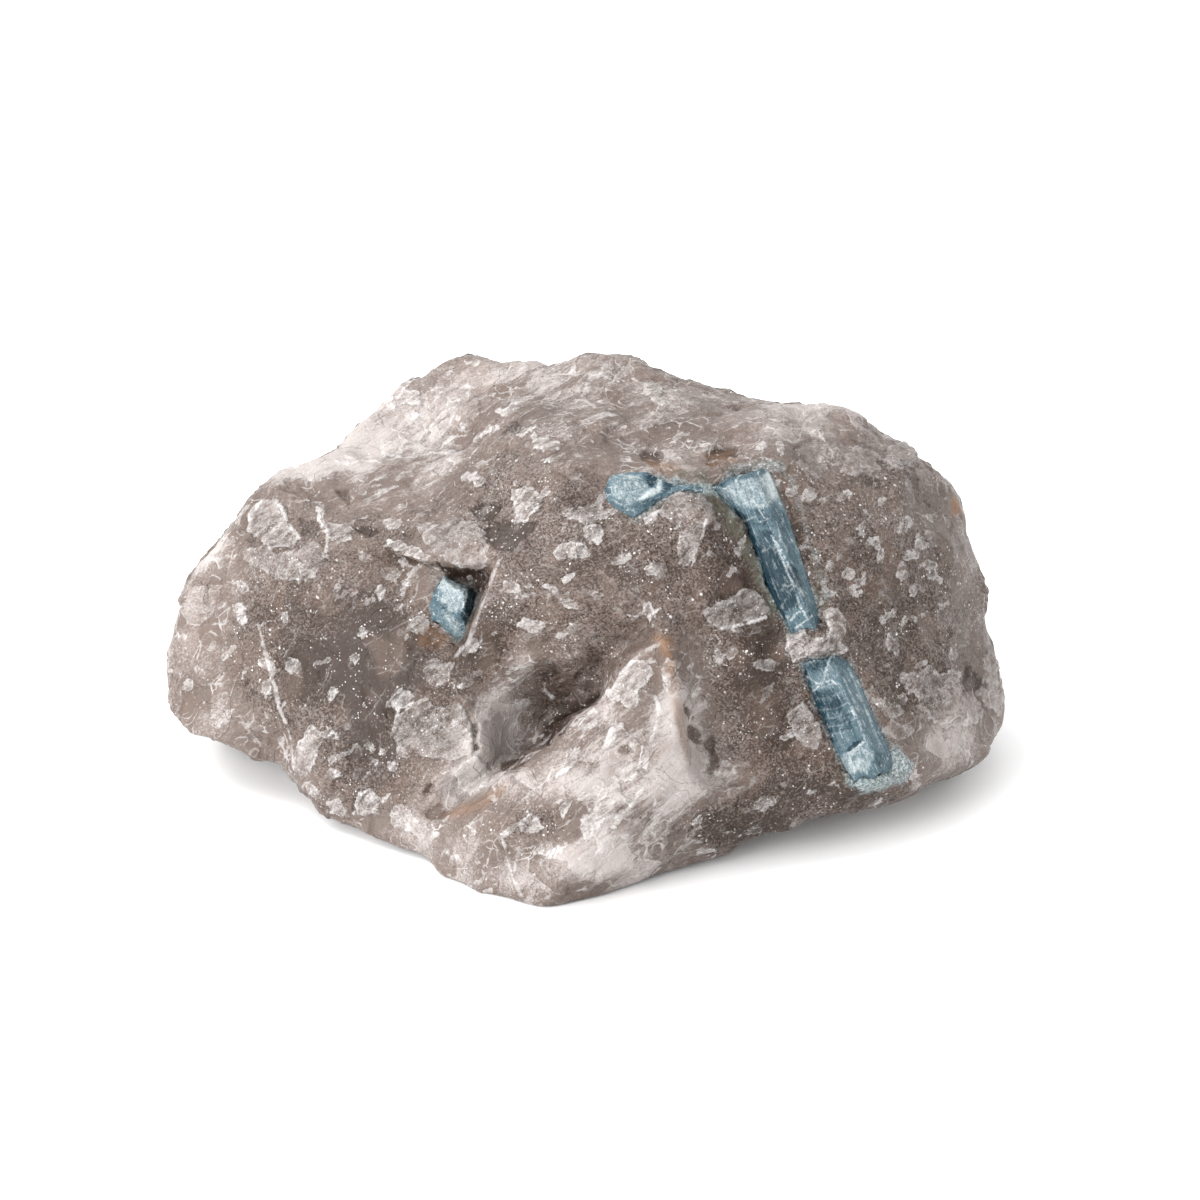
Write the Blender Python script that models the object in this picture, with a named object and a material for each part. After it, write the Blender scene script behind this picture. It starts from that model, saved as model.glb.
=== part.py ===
"""Aquamarine in quartz matrix: a broken lump of massive quartz with beryl crystals grown into its front.

Metres, +Z up. The origin is under the middle of the lump, on the flat fracture that it rests on.
The front is laid out as the photograph shows it. A spot is (x, y, near): the pixel of the 1200 x 1200
photograph where it shows, and how many millimetres it stands nearer to the viewer than the foot's tip.
"""

import math

import bmesh
import bpy
from mathutils import Matrix, Vector, noise
from mathutils.geometry import delaunay_2d_cdt

MM = 0.001

# Driving sizes, in mm
LUMP_WIDTH = 125.7
PRISM_THICKNESS = 6.6
SOCKET_GAP = 0.3

# How the photograph looks at the lump
PHOTO_WIDTH_OF_LUMP = 838
MM_PER_PIXEL = LUMP_WIDTH / PHOTO_WIDTH_OF_LUMP
VIEW_ELEVATION = math.radians(25)
VIEW_DISTANCE = 900
PHOTO_CENTRE = (600, 600)
FOOT_TIP = (540, 908)

# The walls behind each front: how far back they run in mm, and what is left of the width at their end
LUMP_WALLS = (110, 0.86)
CRYSTAL_DRAW_IN = 0.8

# The base is cut this high in mm, and the quartz is smoother below BASE_CALM and around the crystals
BASE_CUT = 0.35
BASE_CALM = 5
CALM_NEAR = 3.5
CALM_WIDTH = 5

BLOCK_HALF = 110
BLOCK_MIDDLE = (0, 30, 110)
BLOCK_VOXEL = 0.8
QUARTZ_TRIANGLES = 7900

# What breaks up the quartz: the size of the forms in mm, and how far they stand out in mm on the front and on
# the hidden sides. For the scoops, how far is a share of their size.
SWELL = (17, 0.5, 2.2)
COARSE_SCOOPS = (21, 0.04, 0.24)
MEDIUM_SCOOPS = (7, 0.09, 0.16)
GRAIN = (3.4, 0.16, 0)

QUARTZ_GREY = (0.33, 0.29, 0.27, 1)
AQUAMARINE_BLUE = (0.16, 0.36, 0.42, 1)

# The edge of the lump against the background, clockwise from its left end
OUTLINE = [
    (167, 693, -36), (170, 645, -37), (179, 610, -37), (190, 580, -37), (203, 557, -36), (222, 537, -35),
    (238, 515, -35), (250, 498, -35), (262, 482, -36), (280, 468, -37), (300, 463, -37), (322, 456, -38),
    (333, 449, -39), (342, 446, -40), (351, 431, -41), (371, 413, -42), (386, 398, -43), (400, 382, -44),
    (424, 374, -44), (439, 359, -45), (457, 353, -45), (481, 355, -44), (493, 364, -42), (520, 365, -40),
    (538, 361, -39), (547, 365, -38), (570, 355, -37), (590, 353, -36), (641, 355, -35), (653, 366, -34),
    (690, 380, -34), (730, 386, -34), (760, 394, -33), (800, 399, -33), (840, 403, -33), (862, 413, -33),
    (882, 430, -34), (897, 438, -34), (910, 452, -34), (925, 460, -35), (940, 474, -35), (955, 490, -36),
    (962, 505, -36), (968, 530, -36), (978, 555, -36), (986, 575, -36), (988, 610, -35), (993, 640, -35),
    (998, 670, -35), (1005, 708, -34), (1003, 722, -33), (995, 735, -31), (988, 752, -28), (978, 763, -26),
    (950, 775, -22), (925, 785, -19), (890, 798, -16), (861, 805, -13), (818, 810, -12), (788, 824, -11),
    (745, 838, -11), (732, 852, -11), (699, 860, -10), (666, 868, -8.5), (633, 880, -6), (600, 894, -3.5),
    (560, 905, -0.8), (540, 908, 0), (525, 903, -1), (505, 896, -3), (478, 893, -4), (462, 880, -7),
    (440, 873, -9), (425, 851, -13), (400, 845, -15), (370, 829, -18), (350, 820, -20), (325, 810, -22),
    (312, 795, -23), (300, 782, -24), (280, 758, -28), (255, 757, -27), (230, 742, -28), (205, 733, -30),
    (190, 728, -32), (172, 706, -35),
]

# Sharp edges and creases across the front, each from one end to the other
EDGES = {
    "foot rim": [
        (662, 639, -0.5), (640, 648, -1), (622, 657, -1.5), (612, 672, -2), (608, 687, -2.5), (600, 701, -3),
        (578, 712, -3.5), (560, 727, -4), (553, 741, -4), (538, 753, -4.5), (520, 766, -4.5), (500, 776, -5),
        (482, 794, -6), (455, 810, -7), (425, 820, -9.5),
    ],
    "hollow behind the foot": [
        (648, 640, -5.5), (628, 647, -8.5), (606, 662, -12), (598, 690, -16), (574, 702, -19),
        (552, 716, -20.5), (540, 738, -20.5), (516, 756, -19), (497, 767, -17), (474, 786, -14),
        (450, 802, -12.5), (426, 812, -13),
    ],
    "foot ridge": [
        (662, 639, -0.5), (676, 665, 0.5), (680, 700, 1.5), (684, 740, 2), (692, 779, 1),
    ],
    "foot shoulder": [
        (692, 779, 1), (662, 790, 2.5), (640, 801, 3), (620, 820, 3.5), (600, 840, 3.5), (582, 853, 3.5),
        (566, 876, 2.5), (540, 908, 0),
    ],
    "foot toe crease": [(500, 838, 0.5), (506, 858, -0.5), (514, 880, -1.2), (525, 903, -1)],
    "lip over the small crystal": [
        (499, 560, -7), (492, 578, -7.5), (484, 600, -8), (477, 620, -8.5), (469, 641, -10), (455, 656, -12.5),
    ],
    "below the lip": [
        (488, 572, -15.5), (480, 590, -17), (473, 612, -17), (460, 634, -16.5), (446, 652, -15.5),
    ],
    "slab edge": [
        (499, 560, -7), (484, 566, -9.5), (466, 566, -11), (440, 560, -13), (412, 555, -15), (384, 549, -17.5),
        (330, 548, -21.5), (292, 552, -25), (250, 545, -30.5), (222, 537, -35),
    ],
    "under the slab edge": [
        (488, 572, -15.5), (466, 574, -16.5), (436, 570, -17), (408, 564, -18.5), (380, 558, -20.5),
        (326, 560, -23.5), (290, 566, -26.5), (248, 562, -31),
    ],
    "shelf front": [
        (262, 482, -36), (300, 500, -31), (352, 520, -24), (400, 526, -19.5), (440, 522, -17), (484, 512, -14),
        (520, 500, -12),
    ],
    "shelf back": [(322, 456, -38), (360, 462, -36), (410, 461, -33), (468, 456, -28), (500, 442, -24.5)],
    "below the shelf back": [
        (342, 446, -40), (368, 452, -40), (412, 450, -38.5), (462, 446, -33), (486, 420, -32),
    ],
    "top surface left side": [(500, 442, -24.5), (512, 410, -30), (530, 385, -35), (547, 365, -38)],
    "left crack": [
        (262, 640, -27.5), (275, 680, -26), (287, 715, -25), (292, 740, -26), (280, 758, -28),
    ],
    "pale slab front": [
        (396, 700, -14.5), (430, 690, -13), (466, 686, -11.5), (478, 720, -11.5), (484, 752, -11.5),
        (497, 767, -17),
    ],
    "foot back corner": [(425, 820, -9.5), (405, 800, -13), (392, 760, -15), (396, 700, -14.5)],
    "top edge": [
        (560, 462, -12), (610, 458, -11.5), (700, 464, -11), (780, 446, -14), (812, 470, -13.5),
        (856, 475, -17.5), (905, 474, -23.5), (940, 474, -35),
    ],
    "underside edge": [
        (692, 779, 1), (716, 790, -2), (760, 781, -5.5), (820, 774, -7.5), (866, 786, -8), (905, 774, -12.5),
        (950, 764, -19), (988, 752, -28),
    ],
    "streaked underside": [
        (640, 860, -1), (700, 836, -5.5), (760, 815, -8), (818, 796, -9.5), (880, 790, -12.5),
    ],
    "recess above the vein": [(632, 450, -15.4), (665, 452, -15.2), (700, 453, -15.2), (738, 446, -16.4)],
    "right chip": [(904, 664, -16), (918, 700, -17), (944, 716, -20), (985, 690, -30), (998, 670, -35)],
    "pit beside the foot": [(697, 668, -4), (694, 712, -6.5), (700, 742, -7.5), (712, 770, -6)],
    "frosted patch": [(668, 498, -3.5), (692, 494, -3.5), (712, 510, -3.2), (706, 550, -2.5), (690, 566, -3.5)],
    "left of the upper prism": [
        (700, 496, -5.5), (728, 520, -6.6), (742, 548, -6.8), (754, 582, -6.8), (766, 614, -6.8),
        (780, 642, -6.6), (790, 674, -7), (802, 704, -7.4), (816, 738, -7.8), (828, 768, -8.2),
    ],
    "right of the upper prism": [
        (782, 466, -11.5), (792, 505, -10.2), (806, 545, -9.4), (818, 585, -9), (834, 608, -8.4),
        (848, 636, -8.4), (858, 662, -9.2), (870, 685, -9.8), (884, 715, -10.2), (897, 742, -10.8),
    ],
    "quartz band": [(790, 650, -5.6), (806, 646, -5), (822, 640, -5), (838, 630, -6)],
}

# Single high and low spots between the edges
SPOTS = [
    # Left face, below the slab
    (400, 620, -17.5), (340, 610, -21.5), (290, 620, -26), (230, 600, -32), (215, 660, -32), (232, 700, -30),
    (250, 730, -28.5), (200, 700, -33), (330, 660, -21.5), (390, 665, -17.5), (310, 715, -22.5),
    (350, 720, -18.5), (430, 650, -15.5), (300, 745, -23.5), (345, 770, -19), (320, 785, -20.5),
    (375, 800, -16.5), (410, 826, -13.5), (375, 745, -17.5), (440, 740, -12), (440, 780, -10.5),
    # Upper left
    (300, 480, -35), (350, 490, -30), (420, 485, -26.5), (470, 480, -21), (400, 505, -22.5),
    (250, 520, -32.5), (300, 530, -27), (350, 535, -21.5), (430, 540, -14.5), (480, 538, -11),
    (400, 425, -40), (430, 400, -41), (460, 385, -42), (495, 395, -36),
    # Top surface
    (540, 425, -21), (600, 405, -24.5), (660, 415, -21.5), (720, 425, -19.5), (600, 375, -31), (680, 392, -28),
    (770, 415, -23), (830, 430, -24), (880, 450, -28), (520, 470, -14), (580, 440, -17),
    # Middle
    (520, 530, -9), (560, 500, -8), (560, 560, -5), (610, 540, -4.5), (600, 600, -4.5), (540, 610, -7),
    (560, 660, -11.5), (520, 660, -11.5), (500, 700, -14.5), (530, 700, -17.5), (510, 735, -18.5),
    (592, 650, -8.5), (660, 530, -4), (650, 590, -2.5),
    (700, 600, -2.5), (720, 560, -3), (690, 635, -2.5), (740, 640, -4.5), (740, 700, -5), (760, 750, -5.5),
    # Foot
    (640, 690, 1.5), (600, 745, 1.5), (565, 785, 2), (520, 810, -0.5), (470, 840, -4), (480, 870, -4),
    (545, 850, 2), (660, 750, 3), (600, 875, 1), (450, 850, -8), (530, 885, 0),
    # Right face
    (832, 570, -10.5),
    (870, 640, -11), (850, 530, -13), (900, 520, -19.5), (900, 590, -17),
    (950, 545, -28), (950, 610, -25.5), (965, 650, -27), (930, 650, -19), (940, 740, -19.5), (975, 725, -27),
    (916, 748, -14),
]

# Fracture planes that shape what the photograph doesn't show: a point in mm, and the way each faces
FRACTURES = {
    "back": ((0, 87, 25), (0.08, 1, 0.06)),
    "back left": ((-56, 70, 20), (-0.62, 0.78, 0.08)),
    "back right": ((52, 72, 25), (0.6, 0.8, -0.06)),
    "top back": ((6, 79, 56), (0.1, 0.62, 0.78)),
    "top left back": ((-26, 83, 54), (-0.3, 0.68, 0.66)),
    "left shoulder": ((-55, 66, 42), (-0.62, 0.6, 0.5)),
    "right shoulder": ((46, 69, 52), (0.5, 0.6, 0.62)),
    "low back": ((10, 84, 9), (0.12, 0.7, -0.7)),
    "low back left": ((-50, 70, 6), (-0.5, 0.5, -0.7)),
    "left": ((-70, 56, 24), (-0.97, 0.22, 0.1)),
    "right": ((65, 58, 22), (0.96, 0.26, 0.04)),
    "low left": ((-64, 46, 6), (-0.7, 0.1, -0.7)),
    "low right": ((60, 46, 4), (0.66, 0.2, -0.72)),
}

# Prisms, by the left and the right edge of each section down their length, and how near its middle stands
UPPER_PRISM = [
    ((708, 486), (769, 465), -10.4), ((716, 497), (776, 482), -10), ((731, 512), (783, 500), -9.6),
    ((744, 531), (790, 518), -9.2), ((752, 550), (797, 537), -9), ((760, 574), (804, 562), -8.9),
    ((768, 596), (812, 586), -8.9), ((777, 617), (819, 605), -9), ((784, 634), (825, 620), -9.2),
]
LOWER_PRISM = [
    ((794, 662), (841, 648), -9.4), ((805, 690), (858, 674), -9.5), ((815, 712), (867, 694), -9.6),
    ((825, 735), (877, 717), -9.8), ((833, 755), (885, 735), -10.1), ((839, 771), (892, 752), -10.5),
    ((843, 781), (893, 764), -11),
]
PRISM_TURN = math.radians(6)
STRIAE_PER_FACE = 4
STRIA_DEPTH = 0.02
END_ROUGHNESS = 0.9
END_GRAIN = 2.2

# Crystals that show only their fronts: the outline, and the edges and spots inside it
SIDE_CRYSTAL = {
    "outline": [
        (604, 487, -4.6), (607, 477, -4.8), (613, 471, -5), (630, 469, -5.2), (649, 470, -5.2), (663, 477, -5),
        (677, 482, -4.8), (691, 481, -4.9), (704, 485, -5.2), (704, 490, -5.2), (690, 487, -4.7),
        (677, 489, -4.4), (665, 495, -4.3), (655, 501, -4.2), (645, 509, -4.1), (634, 515, -4.1),
        (624, 510, -4.1), (610, 502, -4.3),
    ],
    "edges": [[(613, 478, -3.8), (632, 478, -3.6), (648, 484, -3.8), (664, 485, -4.2)]],
    "spots": [(620, 494, -3.2), (638, 498, -3.2), (652, 492, -3.6), (690, 484, -4.3), (676, 485, -4.3)],
    "depth": 4.5,
}
SMALL_CRYSTAL = {
    "outline": [
        (445, 573, -15), (460, 581, -15), (472, 584, -15.8), (480, 591, -17), (480, 603, -17),
        (477, 615, -16.8), (470, 634, -16), (460, 637, -15), (450, 630, -14.6), (440, 620, -14.6),
        (433, 617, -15), (431, 602, -15.4), (434, 590, -15.4),
    ],
    "edges": [
        [(448, 580, -13.4), (464, 588, -12.6), (466, 606, -12.2), (462, 612, -12.2), (446, 608, -12.8),
         (437, 606, -13.8)],
        [(464, 588, -12.6), (472, 592, -13.6)],
        [(462, 612, -12.2), (468, 628, -14)],
    ],
    "spots": [(474, 604, -14.4), (452, 622, -13.2), (444, 594, -13.4)],
    "depth": 8,
}


def view_axes():
    """Right, up and towards the viewer, as the photograph looks at the lump."""
    right = Vector((1, 0, 0))
    up = Vector((0, math.sin(VIEW_ELEVATION), math.cos(VIEW_ELEVATION)))
    return right, up, right.cross(up)


def at(spot):
    """The place in mm of a spot of the photograph. The foot's tip is at y = 0, z = 0."""
    right, up, towards = view_axes()
    x, y, near = spot
    spread = MM_PER_PIXEL * (VIEW_DISTANCE - near) / VIEW_DISTANCE
    centre = up * (FOOT_TIP[1] - PHOTO_CENTRE[1]) * MM_PER_PIXEL
    across = right * (x - PHOTO_CENTRE[0]) + up * (PHOTO_CENTRE[1] - y)
    return centre + across * spread + towards * near


def clear_scene():
    for obj in list(bpy.data.objects):
        bpy.data.objects.remove(obj, do_unlink=True)


def new_object(name, bm):
    """A mesh object in metres from a bmesh in millimetres."""
    mesh = bpy.data.meshes.new(name)
    bm.transform(Matrix.Scale(MM, 4))
    bm.to_mesh(mesh)
    bm.free()
    obj = bpy.data.objects.new(name, mesh)
    bpy.context.scene.collection.objects.link(obj)
    return obj


def apply_modifiers(obj):
    """Turns the object into what its modifiers make of it."""
    graph = bpy.context.evaluated_depsgraph_get()
    mesh = bpy.data.meshes.new_from_object(obj.evaluated_get(graph))
    obj.modifiers.clear()
    obj.data = mesh


def boolean(obj, other, operation):
    modifier = obj.modifiers.new(operation.lower(), "BOOLEAN")
    modifier.operation = operation
    modifier.solver = "EXACT"
    modifier.object = other
    apply_modifiers(obj)
    bpy.data.objects.remove(other, do_unlink=True)


def relief(outline, edges, spots):
    """A front as triangles between its outline, the edges across it and the spots on it, and its rim."""
    spots = outline + spots
    links = [(i, (i + 1) % len(outline)) for i in range(len(outline))]
    for line in edges:
        for spot in line:
            if spot not in spots:
                spots.append(spot)
        places = [spots.index(spot) for spot in line]
        links += list(zip(places, places[1:]))
    flat = [Vector((x, -y)) for x, y, _ in spots]
    points, _, faces, sources, _, _ = delaunay_2d_cdt(flat, links, [], 1, 1e-4)
    if len(points) != len(spots):
        raise ValueError("two edges of a front cross each other")
    bm = bmesh.new()
    verts = [bm.verts.new(at(spots[source[0]])) for source in sources]
    for face in faces:
        bm.faces.new([verts[i] for i in face])
    vert_of = {source[0]: vert for source, vert in zip(sources, verts)}
    return bm, [vert_of[i] for i in range(len(outline))]


def ring_edges(geom):
    return [edge for edge in geom if isinstance(edge, bmesh.types.BMEdge)]


def close_behind(bm, rim, depth, draw_in):
    """Closes a front with walls that run away from the viewer and draw in, and with a flat back."""
    _, _, towards = view_axes()
    middle = sum((vert.co for vert in rim), Vector()) / len(rim)
    back = []
    for vert in rim:
        away = (vert.co - middle).dot(towards)
        place = middle + (vert.co - middle - towards * away) * draw_in - towards * depth
        back.append(bm.verts.new(place))
    for i in range(len(rim)):
        bm.faces.new((rim[i - 1], rim[i], back[i], back[i - 1]))
    bm.faces.new(back)
    bmesh.ops.recalc_face_normals(bm, faces=bm.faces)
    bmesh.ops.triangulate(bm, faces=bm.faces)


def grown_outline(outline, grow):
    """The outline, moved out and nearer by some mm."""
    count = len(outline)
    grown = []
    for i in range(count):
        x0, y0, _ = outline[i - 1]
        x1, y1, _ = outline[(i + 1) % count]
        away = Vector((y1 - y0, x0 - x1)).normalized() * (grow / MM_PER_PIXEL)
        x, y, near = outline[i]
        grown.append((x + away.x, y + away.y, near + grow))
    return grown


def front_crystal(name, crystal, grow):
    """A crystal that shows only its front, grown by some mm."""
    edges = [[(x, y, near + grow) for x, y, near in line] for line in crystal["edges"]]
    spots = [(x, y, near + grow) for x, y, near in crystal["spots"]]
    bm, rim = relief(grown_outline(crystal["outline"], grow), edges, spots)
    close_behind(bm, rim, crystal["depth"] + grow, CRYSTAL_DRAW_IN)
    return new_object(name, bm)


def hexagon(angle):
    """Radius of a hexagon with corners at a radius of 1, the first of them at PRISM_TURN."""
    sixth = math.radians(60)
    return math.cos(sixth / 2) / math.cos((angle - PRISM_TURN) % sixth - sixth / 2)


def prism_ring(row, left, right, near, grow):
    """The corners of one section of a prism, striated down its faces."""
    _, _, towards = view_axes()
    a, b = at(left + (near,)), at(right + (near,))
    across = (b - a) / 2
    half_width = across.length
    across.normalize()
    corners = 6 * STRIAE_PER_FACE
    ring = []
    for i in range(corners):
        angle = PRISM_TURN + math.tau * i / corners
        uneven = (i * 7 + row * 3) % 5 / 8  # from 0 to 1/2, in no clear order
        radius = hexagon(angle) * (1 - STRIA_DEPTH * (i % 2 + uneven))
        aside = across * math.cos(angle) * (half_width * radius + grow)
        ring.append((a + b) / 2 + aside + towards * math.sin(angle) * (PRISM_THICKNESS / 2 * radius + grow))
    return ring


def prism(name, sections, grow):
    """A striated six-sided prism through its sections, with broken ends, grown by some mm."""
    rings = [prism_ring(row, *section, grow) for row, section in enumerate(sections)]
    middles = [sum(ring, Vector()) / len(ring) for ring in rings]
    along = (middles[-1] - middles[0]).normalized()
    ends = ((0, -along), (-1, along))
    for end, outwards in ends:
        for i, place in enumerate(rings[end]):
            rings[end][i] = place + outwards * (grow + noise.noise(place / END_GRAIN) * END_ROUGHNESS)
    bm = bmesh.new()
    rings = [[bm.verts.new(place) for place in ring] for ring in rings]
    for upper, lower in zip(rings, rings[1:]):
        for i in range(len(upper)):
            bm.faces.new((upper[i - 1], upper[i], lower[i], lower[i - 1]))
    for end, outwards in ends:
        ring, middle = rings[end], middles[end]
        tip = bm.verts.new(middle + outwards * (grow + END_ROUGHNESS / 2))
        for i in range(len(ring)):
            bm.faces.new((ring[i - 1], ring[i], tip))
    bmesh.ops.recalc_face_normals(bm, faces=bm.faces)
    bmesh.ops.triangulate(bm, faces=bm.faces)
    return new_object(name, bm)


def fracture_block():
    """A block cleaved on every fracture plane, with its flat base at z = 0."""
    bm = bmesh.new()
    bmesh.ops.create_cube(bm, size=2 * BLOCK_HALF)
    bmesh.ops.translate(bm, verts=bm.verts, vec=BLOCK_MIDDLE)
    for point, facing in FRACTURES.values():
        geom = list(bm.verts) + list(bm.edges) + list(bm.faces)
        plane = {"plane_co": point, "plane_no": Vector(facing).normalized()}
        cut = bmesh.ops.bisect_plane(bm, geom=geom, **plane, clear_outer=True)
        bmesh.ops.contextual_create(bm, geom=ring_edges(cut["geom_cut"]))
    bmesh.ops.recalc_face_normals(bm, faces=bm.faces)
    return new_object("fracture_block", bm)


def scoops(place, size, seed):
    """Depth in mm of hollows with sharp rims between them, as quartz breaks, about 0 on average."""
    warped = place / size + Vector((seed, 2.7 * seed, -1.3 * seed))
    shifts = [noise.noise(warped * 1.3 + Vector((0, 0, 31.7 * i))) for i in range(3)]
    return (noise.voronoi(warped + Vector(shifts) * 0.4)[0][0] - 0.45) * size


def roughness_at(place, hidden):
    """How far in mm the broken quartz stands out at a place. hidden is 0 on the front and 1 on the far sides."""
    forms = (
        (SWELL, noise.fractal(place / SWELL[0], 1.0, 2.1, 3)),
        (COARSE_SCOOPS, scoops(place, COARSE_SCOOPS[0], 3.0)),
        (MEDIUM_SCOOPS, scoops(place, MEDIUM_SCOOPS[0], 8.0)),
        (GRAIN, noise.fractal(place / GRAIN[0], 0.9, 2.2, 2)),
    )
    return sum(height * (front + (far - front) * hidden) for (_, front, far), height in forms)


def distance_to(place, start, end):
    along = end - start
    share = min(1.0, max(0.0, (place - start).dot(along) / along.length_squared))
    return (place - start - along * share).length


def crystal_axes():
    """The line in mm that runs through the middle of each crystal."""
    axes = []
    for sections in (UPPER_PRISM, LOWER_PRISM):
        ends = sections[0], sections[-1]
        axes.append([(at(left + (near,)) + at(right + (near,))) / 2 for left, right, near in ends])
    for crystal in (SIDE_CRYSTAL, SMALL_CRYSTAL):
        axes.append([at(crystal["spots"][0]), at(crystal["spots"][1])])
    return axes


def roughen(obj):
    """Breaks up the smooth quartz, less around the crystals and over the base."""
    _, _, towards = view_axes()
    axes = crystal_axes()
    normals = [vertex.normal.copy() for vertex in obj.data.vertices]
    for vertex, normal in zip(obj.data.vertices, normals):
        place = vertex.co / MM
        hidden = min(1.0, max(0.0, -2 * normal.dot(towards)))
        nearest = min(distance_to(place, start, end) for start, end in axes)
        calmed = min(1.0, max(0.1, (nearest - CALM_NEAR) / CALM_WIDTH))
        calmed *= min(1.0, max(0.15, place.z / BASE_CALM))
        vertex.co += normal * roughness_at(place, hidden) * calmed * MM


def cut_base(obj):
    """The flat fracture that the lump rests on."""
    bm = bmesh.new()
    bm.from_mesh(obj.data)
    geom = list(bm.verts) + list(bm.edges) + list(bm.faces)
    plane = {"plane_co": (0, 0, BASE_CUT * MM), "plane_no": (0, 0, -1), "dist": 1e-7}
    cut = bmesh.ops.bisect_plane(bm, geom=geom, **plane, clear_outer=True)
    bmesh.ops.triangle_fill(bm, edges=ring_edges(cut["geom_cut"]), use_beauty=True)
    bmesh.ops.recalc_face_normals(bm, faces=bm.faces)
    bm.to_mesh(obj.data)
    bm.free()


def give_material(obj, colour, roughness):
    material = bpy.data.materials.new(obj.name)
    material.use_nodes = True
    shader = material.node_tree.nodes["Principled BSDF"]
    shader.inputs["Base Color"].default_value = colour
    shader.inputs["Roughness"].default_value = roughness
    shader.inputs["Metallic"].default_value = 0.0
    obj.data.materials.clear()
    obj.data.materials.append(material)


def quartz_matrix():
    """The lump, before its sockets are cut."""
    bm, rim = relief(OUTLINE, EDGES.values(), SPOTS)
    close_behind(bm, rim, *LUMP_WALLS)
    quartz = new_object("quartz_matrix", bm)
    boolean(quartz, fracture_block(), "INTERSECT")
    remesh = quartz.modifiers.new("voxels", "REMESH")
    remesh.mode = "VOXEL"
    remesh.voxel_size = BLOCK_VOXEL * MM
    apply_modifiers(quartz)
    roughen(quartz)
    decimate = quartz.modifiers.new("decimate", "DECIMATE")
    decimate.ratio = QUARTZ_TRIANGLES / (2 * len(quartz.data.polygons))
    apply_modifiers(quartz)
    cut_base(quartz)
    return quartz


def set_on_origin(objects):
    """Puts the origin under the middle of the whole specimen, on its base."""
    places = [vertex.co for obj in objects for vertex in obj.data.vertices]
    low = Vector(min(place[i] for place in places) for i in range(3))
    high = Vector(max(place[i] for place in places) for i in range(3))
    middle = (low + high) / 2
    for obj in objects:
        obj.data.transform(Matrix.Translation((-middle.x, -middle.y, -low.z)))


def main():
    clear_scene()
    quartz = quartz_matrix()
    give_material(quartz, QUARTZ_GREY, 0.45)
    crystals = []
    for name, make, shape, roughness in (
        ("aquamarine_upper_prism", prism, UPPER_PRISM, 0.25),
        ("aquamarine_lower_prism", prism, LOWER_PRISM, 0.25),
        ("aquamarine_side_crystal", front_crystal, SIDE_CRYSTAL, 0.3),
        ("aquamarine_small_crystal", front_crystal, SMALL_CRYSTAL, 0.3),
    ):
        boolean(quartz, make("socket", shape, SOCKET_GAP), "DIFFERENCE")
        crystal = make(name, shape, 0)
        give_material(crystal, AQUAMARINE_BLUE, roughness)
        crystals.append(crystal)
    set_on_origin([quartz] + crystals)


main()
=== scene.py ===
import functools
import itertools
import math

import bpy
import numpy as np
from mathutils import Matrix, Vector
from mathutils.bvhtree import BVHTree


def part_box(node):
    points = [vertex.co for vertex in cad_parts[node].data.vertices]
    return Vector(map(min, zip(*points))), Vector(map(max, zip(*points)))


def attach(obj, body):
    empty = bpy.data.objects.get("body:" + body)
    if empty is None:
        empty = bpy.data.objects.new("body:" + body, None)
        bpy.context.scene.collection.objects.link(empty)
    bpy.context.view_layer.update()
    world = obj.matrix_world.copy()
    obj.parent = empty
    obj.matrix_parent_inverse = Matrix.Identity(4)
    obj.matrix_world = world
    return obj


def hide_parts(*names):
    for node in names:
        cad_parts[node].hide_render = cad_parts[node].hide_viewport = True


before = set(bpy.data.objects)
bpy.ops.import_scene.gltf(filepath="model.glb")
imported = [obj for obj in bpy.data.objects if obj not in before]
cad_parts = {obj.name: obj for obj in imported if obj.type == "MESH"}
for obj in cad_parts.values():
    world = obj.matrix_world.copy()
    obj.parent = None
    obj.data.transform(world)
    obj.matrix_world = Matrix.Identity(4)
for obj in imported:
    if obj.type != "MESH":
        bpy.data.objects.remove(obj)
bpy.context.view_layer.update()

MM = 0.001

# The photograph: 1200 pixels square, seen from 25 degrees above, with the lump between these pixels
PHOTO_SIZE = 1200
VIEW_ELEVATION = math.radians(25)
LENS = 180
SENSOR = 36
LUMP_LEFT = 167
LUMP_RIGHT = 1005
LUMP_BOTTOM = 908
FIRST_DISTANCE = 0.93

# Meshes, in mm. Hidden sides get this share of the detail of the front.
QUARTZ_VOXEL = 0.34
QUARTZ_TRIANGLES = 195000
CRYSTAL_VOXEL = 0.18
SMOOTHING = 16
HIDDEN_KEPT = 0.15
# The quartz is drawn onto the crystals where it comes this near to them, and ends this deep inside them
CONTACT_NEAR = 0.45
CONTACT_FAR = 1.0
CONTACT_DEPTH = 0.12
# The quartz is tinted by the crystals as far as this from them, in mm
TOUCH = 1.5

# Marks on the crystals have edges that are this many pixels soft
MARK_SOFTNESS = 2.4

# A traced edge goes from outside to inside over this many pixels, and is ragged by this many
EDGE_PIXELS = 8
RAGGED_PIXELS = 3.0

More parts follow.
